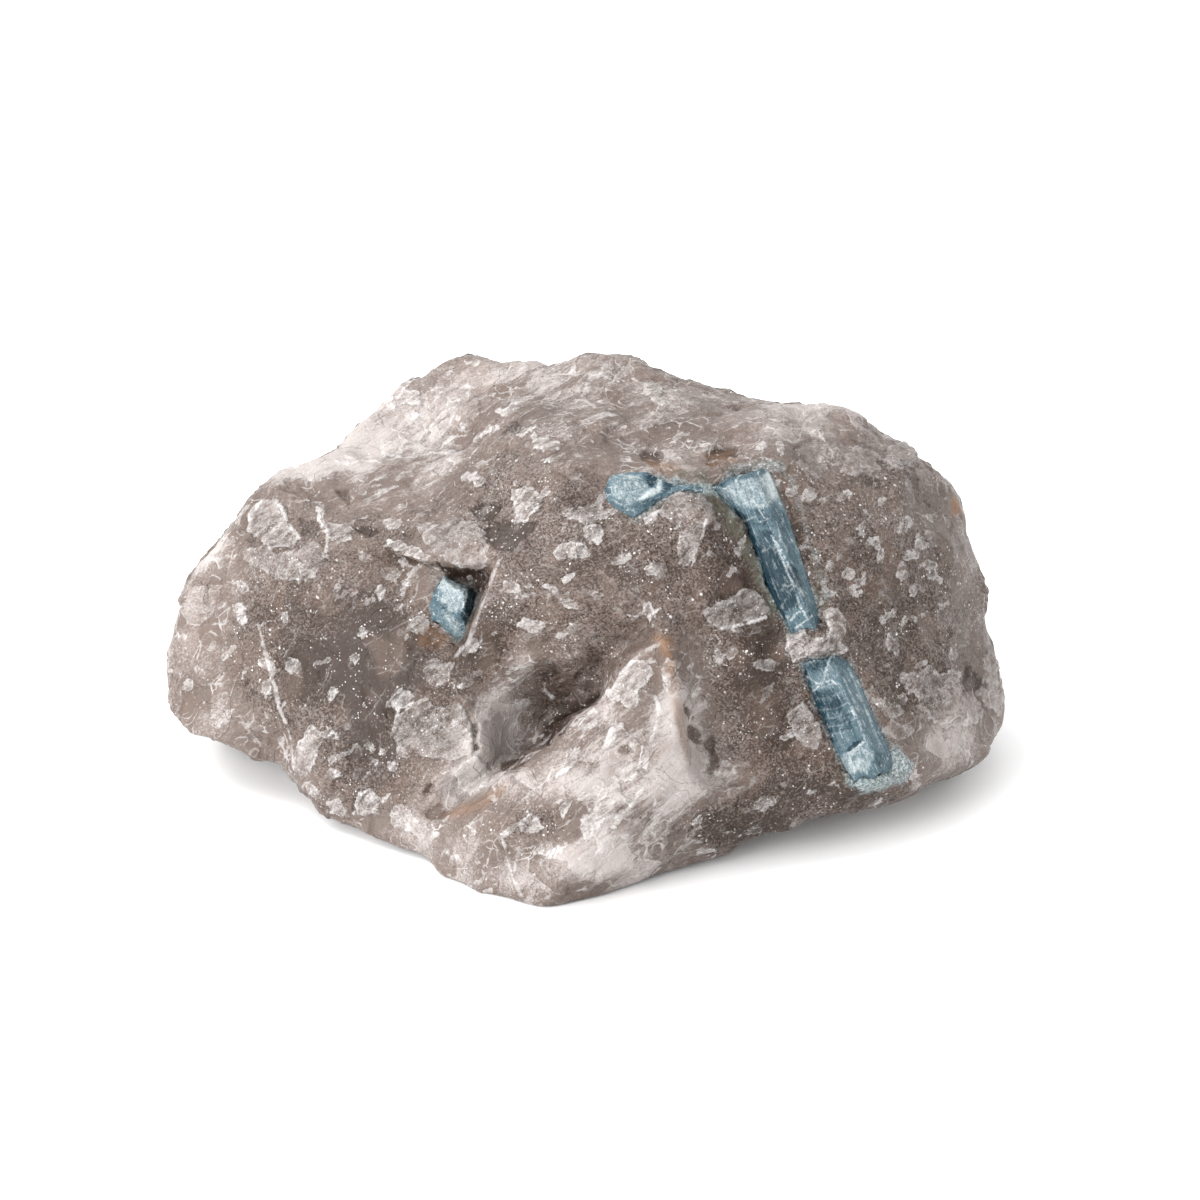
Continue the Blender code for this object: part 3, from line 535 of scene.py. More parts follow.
# Where the quartz is blue-grey from the crystals: how strongly and the outline
TEAL_STAINS = {
    "neck": (0.9, [
        (655, 474), (680, 478), (705, 482), (722, 486), (722, 497), (700, 494), (680, 492), (660, 499),
    ]),
    "above the head": (0.6, [(708, 486), (735, 462), (792, 460), (785, 473), (745, 477), (718, 492)]),
    "under the lower prism": (0.9, [(842, 768), (898, 745), (917, 765), (905, 783), (865, 795), (845, 786)]),
    "under the side crystal": (0.6, [(622, 505), (652, 512), (668, 502), (658, 515), (635, 518)]),
    "right of the upper prism": (0.5, [
        (785, 476), (796, 476), (806, 510), (822, 560), (832, 600), (824, 602), (808, 550),
    ]),
    "left of the upper prism": (0.45, [
        (716, 494), (735, 510), (748, 535), (756, 560), (750, 562), (736, 530),
    ]),
}

# Marks on the crystals: how pale each is, from -1 to 1, and its outline. Most are the crystals' own colour,
# but the left sides of the prisms and the small crystal's dark face are partly painted shade.
CRYSTAL_MARKS = {
    "aquamarine_upper_prism": {
        "head": (0.70, [
            (716, 492), (732, 480), (758, 476), (771, 470), (778, 496), (768, 508), (745, 509), (728, 501),
        ]),
        "broken strip": (-0.30, [
            (710, 486), (722, 474), (740, 466), (765, 467), (760, 476), (735, 480), (722, 488),
        ]),
        "grey right of the head": (0.45, [
            (762, 467), (771, 470), (781, 499), (786, 512), (775, 505), (767, 490),
        ]),
        "below the head": (-0.30, [(746, 512), (768, 506), (785, 515), (793, 531), (771, 530), (753, 526)]),
        # partly the face's own deeper colour and partly painted shade from the quartz wall beside it
        "left side": (-1.15, [
            (735, 509), (746, 514), (756, 540), (765, 565), (775, 592), (786, 620), (776, 622), (764, 600),
            (754, 575), (747, 550),
        ]),
        "core": (-1.2, [
            (757, 548), (774, 548), (785, 570), (796, 592), (799, 606), (786, 609), (776, 600), (765, 577),
        ]),
        "beside the needles": (-1.1, [(789, 564), (796, 570), (802, 586), (796, 589), (789, 576)]),
        "above the needles": (-0.5, [(756, 530), (772, 530), (775, 552), (765, 553), (758, 545)]),
        "right side": (0.20, [
            (786, 515), (796, 533), (807, 560), (815, 585), (822, 612), (812, 614), (806, 592), (797, 565),
            (788, 540),
        ]),
        "foot of the prism": (0.0, [(788, 606), (806, 602), (812, 618), (806, 632), (790, 630)]),
    },
    "aquamarine_lower_prism": {
        "top": (-0.6, [(801, 660), (820, 655), (831, 658), (826, 670), (811, 673)]),
        "frost net": (0.30, [(812, 672), (834, 663), (841, 680), (826, 690), (811, 690)]),
        # partly the face's own deeper colour and partly painted shade from the quartz wall beside it
        "left side": (-1.0, [
            (795, 667), (805, 670), (812, 690), (819, 706), (827, 725), (833, 742), (826, 742), (814, 716),
            (804, 692),
        ]),
        "upper belt": (-0.6, [(813, 690), (831, 689), (844, 700), (843, 712), (820, 713)]),
        "pit": (-1.6, [(830, 707), (831, 702), (838, 700), (838, 704), (834, 708)]),
        "ladder": (-0.35, [(819, 713), (848, 711), (853, 730), (829, 735)]),
        "second pit": (-1.6, [(847, 750), (852, 745), (858, 742), (857, 746), (850, 752)]),
        "clear belt": (0.10, [(830, 736), (855, 728), (861, 741), (841, 750)]),
        "frosty end": (0.75, [(838, 756), (850, 750), (868, 742), (876, 757), (868, 772), (842, 776)]),
        "right of the end": (-0.25, [(875, 752), (890, 755), (886, 766), (871, 765)]),
        "right side": (0.30, [
            (842, 662), (856, 676), (868, 706), (878, 735), (888, 752), (874, 751), (861, 725), (851, 700),
            (843, 680),
        ]),
    },
    "aquamarine_side_crystal": {
        "face": (0.70, [(608, 482), (620, 474), (642, 474), (650, 488), (645, 500), (628, 506), (612, 497)]),
        "hole": (-2.4, [(648, 474), (652, 473), (656, 479), (655, 486), (651, 486), (647, 480)]),
        "white triangle": (1.1, [(657, 480), (663, 478), (661, 492), (652, 498), (640, 499), (650, 490)]),
        "green facet": (-0.30, [(642, 502), (656, 494), (670, 488), (660, 500), (645, 508)]),
        "dark facet": (-0.50, [(662, 481), (677, 482), (672, 488), (664, 490)]),
        "left shade": (-0.45, [(604, 482), (612, 482), (614, 493), (605, 493)]),
        "vein": (0.0, [(672, 480), (690, 480), (710, 483), (710, 490), (690, 488), (674, 490)]),
        "dark line": (-1.0, [(688, 483), (710, 484), (710, 488), (700, 487)]),
    },
    "aquamarine_small_crystal": {
        "bright face": (0.90, [
            (436, 580), (443, 571), (452, 577), (465, 588), (464, 603), (455, 610), (447, 612), (440, 602),
            (435, 594),
        ]),
        "left pits": (-0.70, [(433, 588), (440, 589), (442, 597), (436, 598)]),
        # painted shade: the dark face and its upper edge stand in for the shadowed gap on the crystal's
        # right
        "dark face": (-0.7, [
            (468, 588), (481, 588), (481, 602), (478, 612), (471, 620), (463, 610), (466, 600),
        ]),
        "upper edge of the dark face": (-0.3, [(462, 582), (472, 584), (481, 590), (468, 590)]),
        "lower face": (-0.15, [(452, 614), (461, 609), (471, 620), (468, 629), (457, 626)]),
        "lowest face": (0.60, [
            (440, 612), (452, 612), (457, 627), (468, 631), (466, 638), (455, 638), (446, 625),
        ]),
        "spot": (-2.0, [(441, 604), (444, 605), (446, 609), (442, 608)]),
    },
}

# Needles, cracks and frosted edges on the crystals: how white each is, its width in pixels, and its course
CRYSTAL_LINES = {
    "aquamarine_upper_prism": {
        "first needle": (0.72, 1.5, [(772, 536), (778, 548), (784, 563), (791, 581)]),
        "second needle": (0.64, 1.1, [(776, 541), (786, 560), (794, 576), (801, 592)]),
        "third needle": (0.64, 1.1, [(785, 577), (795, 592), (800, 607)]),
        "fourth needle": (0.56, 1.0, [(789, 583), (800, 589), (806, 600)]),
        "fifth needle": (0.48, 1.0, [(790, 566), (797, 580), (801, 590)]),
        "sixth needle": (0.4, 0.9, [(779, 536), (788, 552)]),
        "branch": (0.72, 1.4, [(772, 559), (776, 568)]),
        "first scratch": (0.56, 0.9, [(763, 551), (770, 548), (777, 547)]),
        "second scratch": (0.56, 0.9, [(745, 521), (755, 517)]),
        "third scratch": (0.56, 0.9, [(760, 522), (770, 518)]),
        "fourth scratch": (0.48, 0.9, [(781, 608), (791, 590)]),
        "white spot": (0.8, 2.0, [(783, 585), (789, 586)]),
        "left line of the head": (0.72, 1.1, [(708, 488), (716, 487), (726, 489)]),
        "flakes of the strip": (0.72, 1.6, [(736, 481), (740, 475), (746, 471)]),
        "upper line of the head": (0.56, 1.1, [(713, 480), (728, 472), (745, 466), (762, 466), (770, 469)]),
        "wisp": (0.4, 1.1, [(744, 466), (749, 461)]),
        "first line of the foot": (0.64, 1.1, [(791, 620), (798, 612), (805, 612)]),
        "second line of the foot": (0.72, 1.2, [(796, 628), (804, 622), (812, 616)]),
        "third line of the foot": (0.56, 1.0, [(800, 606), (808, 620)]),
    },
    "aquamarine_lower_prism": {
        "edge": (0.36, 1.1, [(840, 684), (848, 700), (857, 718), (863, 735), (868, 747)]),
        "net 1": (0.72, 1.1, [(800, 664), (812, 662), (828, 655)]),
        "net 2": (0.72, 1.2, [(824, 676), (828, 664), (831, 656)]),
        "net 3": (0.64, 1.1, [(806, 676), (818, 684), (832, 680), (842, 690)]),
        "net 4": (0.64, 1.1, [(812, 692), (822, 684), (826, 674)]),
        "ladder 1": (0.35, 0.9, [(808, 686), (822, 688), (834, 683)]),
        "ladder 2": (0.3, 0.9, [(816, 699), (830, 698), (843, 690)]),
        "ladder 3": (0.4, 0.9, [(820, 710), (836, 709), (849, 702)]),
        "ladder 4": (0.25, 0.9, [(824, 719), (840, 716), (852, 710)]),
        "ladder 5": (0.3, 0.9, [(828, 727), (842, 725), (856, 718)]),
        "ladder 6": (0.2, 0.9, [(831, 734), (846, 732), (860, 726)]),
        "frost of the edge": (0.72, 1.6, [(852, 710), (855, 716)]),
        "under the second pit": (0.72, 1.2, [(848, 753), (856, 748), (864, 742)]),
        "right line 1": (0.32, 0.9, [(848, 668), (860, 695), (870, 720), (880, 745)]),
        "right line 2": (0.32, 0.9, [(855, 668), (864, 690), (874, 715)]),
    },
    "aquamarine_side_crystal": {
        "white corner": (0.8, 4.3, [(607, 477), (611, 473)]),
        "upper edge": (0.64, 1.4, [(653, 472), (661, 474), (667, 477)]),
        "lower edge": (0.48, 1.1, [(612, 500), (624, 506), (636, 512)]),
        "end of the vein": (0.64, 1.0, [(704, 488), (712, 487)]),
    },
    "aquamarine_small_crystal": {
        "right edge": (0.8, 1.6, [(467, 589), (466, 598), (463, 607)]),
        "upper edge": (0.72, 1.5, [(447, 571), (456, 579), (466, 587)]),
        "edge of the lower face": (0.64, 1.0, [(461, 609), (466, 615), (471, 620)]),
        "crack": (0.64, 1.0, [(454, 619), (459, 625)]),
        "left edge": (0.48, 1.1, [(441, 574), (436, 584)]),
    },
}


# Numbers scattered over space, the same at each run

def lattice(cells, seed):
    """A random number from 0 to 1 for each cell of a grid."""
    mixed = cells[:, 0] * 374761393 + cells[:, 1] * 668265263 + cells[:, 2] * 2246822519 + seed * 3266489917
    mixed = mixed & 0xFFFFFFFF
    mixed = ((mixed ^ (mixed >> 15)) * 2246822519) & 0xFFFFFFFF
    mixed = ((mixed ^ (mixed >> 13)) * 3266489917) & 0xFFFFFFFF
    return ((mixed ^ (mixed >> 16)) & 0xFFFFFF) / 0xFFFFFF


def soft_noise(places, size, seed):
    """Smooth noise from -1 to 1 whose bumps are about size mm across."""
    scaled = places / size
    base = np.floor(scaled).astype(np.int64)
    part = scaled - base
    part = part * part * part * (part * (part * 6 - 15) + 10)
    total = np.zeros(len(places))
    for corner in itertools.product((0, 1), repeat=3):
        weight = np.prod(np.where(corner, part, 1 - part), axis=1)
        total += weight * lattice(base + corner, seed)
    return total * 2 - 1


def rough_noise(places, size, seed, octaves=4, gain=0.5):
    """Noise from about -1 to 1 with ever finer bumps on it."""
    total = np.zeros(len(places))
    for i in range(octaves):
        total += soft_noise(places, size / 2.03 ** i, seed + 17 * i) * gain ** i
    return total * (1 - gain)


def chips(places, size, seed):
    """Broken flats: how high each place is on its sloping flat, and how far inside the flat's edge."""
    warp = np.stack([soft_noise(places, size * 0.7, seed + 5 + k) for k in range(3)], axis=1)
    scaled = places / size + warp * 0.22
    base = np.floor(scaled).astype(np.int64)
    nearest = np.full(len(places), 9.0)
    second = nearest.copy()
    height = np.zeros(len(places))
    for shift in itertools.product((-1, 0, 1), repeat=3):
        cell = base + shift
        middle = cell + np.stack([lattice(cell, seed + k) for k in range(3)], axis=1)
        offset = scaled - middle
        distance = np.linalg.norm(offset, axis=1)
        tilt = np.stack([lattice(cell, seed + 3 + k) for k in range(3)], axis=1) - 0.5
        closer = distance < nearest
        second = np.where(closer, nearest, np.minimum(second, distance))
        height = np.where(closer, np.sum(offset * tilt, axis=1) * 2, height)
        nearest = np.where(closer, distance, nearest)
    return height, second - nearest


def smoothstep(low, high, value):
    share = np.clip((value - low) / (high - low), 0, 1)
    return share * share * (3 - 2 * share)


# Meshes

def coordinates(mesh):
    flat = np.empty(len(mesh.vertices) * 3, np.float32)
    mesh.vertices.foreach_get("co", flat)
    return flat.reshape(-1, 3).astype(float)


def set_coordinates(mesh, places):
    mesh.vertices.foreach_set("co", places.astype(np.float32).ravel())
    mesh.update()


def normals(mesh):
    flat = np.empty(len(mesh.vertices) * 3, np.float32)
    mesh.vertices.foreach_get("normal", flat)
    return flat.reshape(-1, 3).astype(float)


def set_attribute(mesh, name, values):
    attribute = mesh.attributes.new(name, "FLOAT", "POINT")
    attribute.data.foreach_set("value", values.astype(np.float32))


def link(name, mesh):
    obj = bpy.data.objects.new(name, mesh)
    bpy.context.scene.collection.objects.link(obj)
    return obj


def apply_modifiers(obj):
    graph = bpy.context.evaluated_depsgraph_get()
    obj.data = bpy.data.meshes.new_from_object(obj.evaluated_get(graph))
    obj.modifiers.clear()


def fine_copy(name, node, voxel):
    """A finely meshed copy of a CAD node."""
    obj = link(name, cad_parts[node].data.copy())
    obj.data.materials.clear()
    remesh = obj.modifiers.new("voxels", "REMESH")
    remesh.mode = "VOXEL"
    remesh.voxel_size = voxel * MM
    apply_modifiers(obj)
    return obj


def soften(mesh, values, rounds, share=0.5):
    """Values of a mesh's vertices, averaged with their neighbours some times over."""
    ends = np.empty(len(mesh.edges) * 2, np.int32)
    mesh.edges.foreach_get("vertices", ends)
    ends = ends.reshape(-1, 2)
    count = len(mesh.vertices)
    links = np.bincount(ends.ravel(), minlength=count)
    values = values.reshape(count, -1)
    for _ in range(rounds):
        total = np.stack([
            np.bincount(ends[:, 0], column[ends[:, 1]], count)
            + np.bincount(ends[:, 1], column[ends[:, 0]], count)
            for column in values.T
        ], axis=1)
        values = values + (total / links[:, None] - values) * share
    return values


def finish_piece(obj, node, material):
    obj.data.materials.clear()
    obj.data.materials.append(material)
    obj.data.polygons.foreach_set("use_smooth", np.ones(len(obj.data.polygons), bool))
    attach(obj, "root")
    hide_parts(node)


# The camera, and where a place shows in the photograph

RIGHT = np.array((1.0, 0.0, 0.0))
UP = np.array((0.0, math.sin(VIEW_ELEVATION), math.cos(VIEW_ELEVATION)))
TOWARDS = np.cross(RIGHT, UP)
FOCAL = LENS / SENSOR * PHOTO_SIZE


def photo_pixels(places, eye):
    """The pixels of the photograph where places, in metres, show from an eye at (right, up, towards)."""
    depth = eye[2] - places @ TOWARDS
    x = PHOTO_SIZE / 2 + FOCAL * (places @ RIGHT - eye[0]) / depth
    y = PHOTO_SIZE / 2 - FOCAL * (places @ UP - eye[1]) / depth
    return x, y


def fit_eye(places):
    """The eye from which the lump fills the same pixels as in the photograph."""
    eye = np.array((0.0, 0.03, FIRST_DISTANCE))
    for _ in range(20):
        x, y = photo_pixels(places, eye)
        per_pixel = (eye[2] - places @ TOWARDS).mean() / FOCAL
        eye[0] += ((x.min() + x.max()) - (LUMP_LEFT + LUMP_RIGHT)) / 2 * per_pixel
        eye[1] += (LUMP_BOTTOM - y.max()) * per_pixel
        eye[2] *= 1 + ((x.max() - x.min()) / (LUMP_RIGHT - LUMP_LEFT) - 1) * 0.9
    return eye


EYE = fit_eye(coordinates(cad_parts["quartz_matrix"].data))
EYE_PLACE = RIGHT * EYE[0] + UP * EYE[1] + TOWARDS * EYE[2]


def place_camera():
    data = bpy.data.cameras.new("camera")
    data.lens = LENS
    data.sensor_width = SENSOR
    data.clip_start = 0.01
    camera = bpy.data.objects.new("camera", data)
    camera.location = EYE_PLACE
    camera.rotation_euler = Vector(-TOWARDS).to_track_quat("-Z", "Y").to_euler()
    bpy.context.scene.collection.objects.link(camera)
    bpy.context.scene.camera = camera


# What the photograph shows on the quartz

def from_line(x, y, start, end):
    """Distances in pixels from a straight line between two spots."""
    along = np.subtract(end, start)
    share = ((x - start[0]) * along[0] + (y - start[1]) * along[1]) / max(along @ along, 1e-9)
    share = np.clip(share, 0, 1)
    return np.hypot(x - start[0] - share * along[0], y - start[1] - share * along[1])


def inside_outline(x, y, outline):
    """How many pixels places are inside an outline. Outside it is less than 0."""
    distance = np.full(len(x), 1e6)
    inside = np.zeros(len(x), bool)
    for (x0, y0), (x1, y1) in zip(outline, outline[1:] + outline[:1]):
        distance = np.minimum(distance, from_line(x, y, (x0, y0), (x1, y1)))
        crossing = ((y0 > y) != (y1 > y)) & (x < (x1 - x0) * (y - y0) / ((y1 - y0) or 1e-9) + x0)
        inside ^= crossing
    return np.where(inside, distance, -distance)


def inside_line(x, y, width, course):
    """How many pixels places are inside a line of some width."""
    distance = np.full(len(x), 1e6)
    for start, end in zip(course, course[1:]):
        distance = np.minimum(distance, from_line(x, y, start, end))
    return width / 2 - distance


class Traced:
    """Shapes of one kind, laid on the places that the photograph shows."""

    def __init__(self, x, y, shown, ragged):
        self.x, self.y, self.shown, self.ragged = x, y, shown, ragged
        self.edge = np.full(len(x), -1.0)
        self.strength = np.zeros(len(x))
        self.height = np.zeros(len(x))

    def lay(self, spots, strength, height, inside_of):
        """Adds a shape around some spots. inside_of tells how many pixels a place is inside it."""
        low, high = np.min(spots, axis=0) - 2 * EDGE_PIXELS, np.max(spots, axis=0) + 2 * EDGE_PIXELS
        across = (self.x > low[0]) & (self.x < high[0])
        down = (self.y > low[1]) & (self.y < high[1])
        near = np.flatnonzero(across & down & (self.shown > 0))
        inside = inside_of(self.x[near], self.y[near]) + self.ragged[near]
        edge = np.clip(inside / EDGE_PIXELS, -1, 1)
        edge = -1 + (edge + 1) * self.shown[near]
        better = edge > self.edge[near]
        self.edge[near] = np.where(better, edge, self.edge[near])
        self.strength[near] = np.where(better, strength, self.strength[near])
        rise = height * smoothstep(-1.0, 2.0, inside) * self.shown[near]
        self.height[near] = np.where(rise > self.height[near], rise, self.height[near])

    def lay_outlines(self, shapes):
        for strength, height, outline in shapes.values():
            self.lay(outline, strength, height, lambda x, y: inside_outline(x, y, outline))
        return self

    def lay_lines(self, shapes, height):
        for strength, width, course in shapes.values():
            self.lay(course, strength, height, lambda x, y: inside_line(x, y, width, course))
        return self


class Photographed:
    """A mesh's vertices where the photograph shows them."""

    def __init__(self, mesh):
        self.places = coordinates(mesh)
        self.faces = normals(mesh)
        self.x, self.y = photo_pixels(self.places, EYE)
        self.shown = soften(mesh, seen(mesh, self.places, self.faces), 2)[:, 0]
        self.ragged = rough_noise(self.places / MM, 1.5, 41, 3) * 2 * RAGGED_PIXELS

    def traced(self, ragged=1.0):
        return Traced(self.x, self.y, self.shown, self.ragged * ragged)

    def zones(self, table):
        """The sum of soft round zones."""
        tone = np.zeros(len(self.x))
        for pale, middle, reach in table.values():
            across = (self.x - middle[0]) / reach[0]
            down = (self.y - middle[1]) / reach[1]
            tone += pale * np.exp(-across ** 2 - down ** 2)
        return tone * self.shown

    def marks(self, table, soft):
        """The sum of marks whose edges are this many pixels soft."""
        tone = np.zeros(len(self.x))
        for pale, outline in table.values():
            inside = inside_outline(self.x, self.y, outline) + self.ragged * 0.4
            tone += pale * smoothstep(-soft, soft, inside)
        return tone * self.shown


# Materials

class Nodes:
    """A material's nodes, each made by a short call."""

    def __init__(self, name):
        self.material = bpy.data.materials.new(name)
        self.material.use_nodes = True
        self.tree = self.material.node_tree
        self.shader = self.tree.nodes["Principled BSDF"]

    def add(self, kind, inputs=None, **settings):
        """A node with its settings, and with values or links on its inputs."""
        node = self.tree.nodes.new(kind)
        for key, value in settings.items():
            setattr(node, key, value)
        for key, value in (inputs or {}).items():
            if isinstance(value, bpy.types.NodeSocket):
                self.tree.links.new(value, node.inputs[key])
            else:
                node.inputs[key].default_value = value
        return node

    def shade(self, name, value):
        self.tree.links.new(value, self.shader.inputs[name])

    def calc(self, operation, *values):
        return self.add("ShaderNodeMath", dict(enumerate(values)), operation=operation).outputs[0]

    def vector(self, operation, output, inputs):
        return self.add("ShaderNodeVectorMath", inputs, operation=operation).outputs[output]

    def times(self, a, b):
        return self.calc("MULTIPLY", a, b)

    def plus(self, a, b):
        return self.calc("ADD", a, b)

    def total(self, values):
        return functools.reduce(self.plus, values)

    def largest(self, values):
        return functools.reduce(lambda a, b: self.calc("MAXIMUM", a, b), values)

    def contrast(self, value, strength, middle=0.5):
        """A value's distance from its middle, made stronger or weaker."""
        return self.times(self.calc("SUBTRACT", value, middle), strength)

    def span(self, value, low, high, to_low=0.0, to_high=1.0):
        """A value's place between low and high, eased at both ends."""
        inputs = {"Value": value, "From Min": low, "From Max": high, "To Min": to_low, "To Max": to_high}
        return self.add("ShaderNodeMapRange", inputs, interpolation_type="SMOOTHSTEP").outputs["Result"]

    def blend(self, share, a, b):
        return self.add("ShaderNodeMix", {0: share, 6: a, 7: b}, data_type="RGBA").outputs[2]

    def noise(self, place, size, detail=2.0, roughness=0.5):
        """Noise from 0 to 1 whose bumps are about size mm across."""
        inputs = {"Vector": place, "Scale": 1 / size, "Detail": detail, "Roughness": roughness}
        return self.add("ShaderNodeTexNoise", inputs).outputs["Fac"]

    def cells(self, place, size):
        """A random number for each cell of a net whose cells are about size mm across."""
        net = self.add("ShaderNodeTexVoronoi", {"Vector": place, "Scale": 1 / size})
        return self.add("ShaderNodeSeparateColor", {0: net.outputs["Color"]}).outputs[0]

    def from_cell_edges(self, place, size):
        inputs = {"Vector": place, "Scale": 1 / size}
        return self.add("ShaderNodeTexVoronoi", inputs, feature="DISTANCE_TO_EDGE").outputs["Distance"]

    def attribute(self, name):
        return self.add("ShaderNodeAttribute", attribute_name=name).outputs["Fac"]

    def millimetres(self):
        """Object coordinates in mm."""
        place = self.add("ShaderNodeTexCoord").outputs["Object"]
        return self.vector("SCALE", 0, {0: place, "Scale": 1 / MM})

    def streaked(self, place, direction, share):
        """Places drawn together along a direction, so that a texture on them is stretched along it."""
        along = self.vector("DOT_PRODUCT", "Value", {0: place, 1: tuple(direction)})
        along = self.vector("SCALE", 0, {0: tuple(direction), "Scale": self.times(along, share)})
        return self.vector("SUBTRACT", 0, {0: place, 1: along})

    def specks(self, place, size, share, radius):
        """White specks in some of the cells of a net, and how strong each is."""
        net = self.add("ShaderNodeTexVoronoi", {"Vector": place, "Scale": 1 / size})
        colour = self.add("ShaderNodeSeparateColor", {0: net.outputs["Color"]})
        reach = self.span(colour.outputs[0], 1 - share, 1.0, 0.25 * radius, radius)
        there = self.calc("GREATER_THAN", colour.outputs[0], 1 - share)
        dot = self.span(self.calc("SUBTRACT", reach, net.outputs["Distance"]), 0.0, 0.08)
        strength = self.calc("MULTIPLY_ADD", colour.outputs[1], 0.7, 0.3)
        return self.times(self.times(dot, there), strength)

    def finish(self, height, ior, specular):
        """Puts relief, given in mm, and gloss on the surface."""
        bump = self.add("ShaderNodeBump", {"Height": height, "Strength": 1.0, "Distance": MM})
        self.shade("Normal", bump.outputs[0])
        self.shader.inputs["IOR"].default_value = ior
        self.shader.inputs["Specular IOR Level"].default_value = specular
        return self.material


# Colours of the quartz
QUARTZ_DARK = (0.026, 0.015, 0.010, 1)
QUARTZ_MIDDLE = (0.105, 0.079, 0.067, 1)
QUARTZ_PALE = (0.335, 0.300, 0.286, 1)
FROST = (0.57, 0.547, 0.538, 1)
SPECK = (0.70, 0.685, 0.675, 1)
SMOKE = (0.120, 0.082, 0.064, 1)
RUST = (0.17, 0.085, 0.040, 1)
OLIVE = (0.072, 0.072, 0.052, 1)
TEAL_LOW = (0.085, 0.120, 0.125, 1)
TEAL_HIGH = (0.33, 0.38, 0.385, 1)

# Sizes of its markings, in mm, and the way in which they are drawn out
STREAK = RIGHT * 0.82 + UP * 0.57
BEND_SIZE = 0.625
CLOUD_SIZE = 9
PATCH_SIZE = 2.4
STREAK_SIZE = 0.8
FINE_SIZE = 0.7
TERRACE_SIZE = 8.0
PLATE_SIZE = 4.6
FLAKE_SIZE = 2.6
SHRED_SIZE = 1.1
FLAKE_THRESHOLD = 0.635
GRAIN_SIZE = 0.24
SWARM_SIZE = 5

# Where the noise reaches each terrace, and how high the terrace is
TERRACES = ((0.42, 0.33), (0.50, 0.67), (0.58, 1.0))
# Layers of specks: the size of the net in mm, the share of its cells with a speck, and the radius in cells
SPECK_LAYERS = ((1.5, 0.35, 0.20), (0.8, 0.45, 0.27), (0.42, 0.28, 0.40))
# How far a marking stands out, in mm
GRAIN_RELIEF = 0.05
PATCH_RELIEF = 0.25
FINE_RELIEF = 0.12
STREAK_RELIEF = 0.5
FROST_RELIEF = 0.10
RIM_RELIEF = 0.08
SPECK_RELIEF = 0.06
TERRACE_RELIEF = 0.5
PLATE_RELIEF = 0.4
QUARTZ_IOR = 1.55
QUARTZ_SPECULAR = 0.22


def bend(n, place):
    """Places shifted a little by noise, so that straight textures on them are bent."""
    inputs = {"Vector": place, "Scale": 1 / BEND_SIZE, "Detail": 2.0}
    shift = n.add("ShaderNodeTexNoise", inputs).outputs["Color"]
    shift = n.vector("MULTIPLY", 0, {0: shift, 1: (0.5, 0.5, 0.5)})
    return n.vector("ADD", 0, {0: place, 1: shift})


def bright_edges(n, place, edges, pale):
    """Edges that are bright in places, and most where the quartz is pale."""
    return n.times(n.times(edges, n.span(n.noise(place, 3, 3, 0.6), 0.46, 0.62, 0.0, 0.7)), pale)


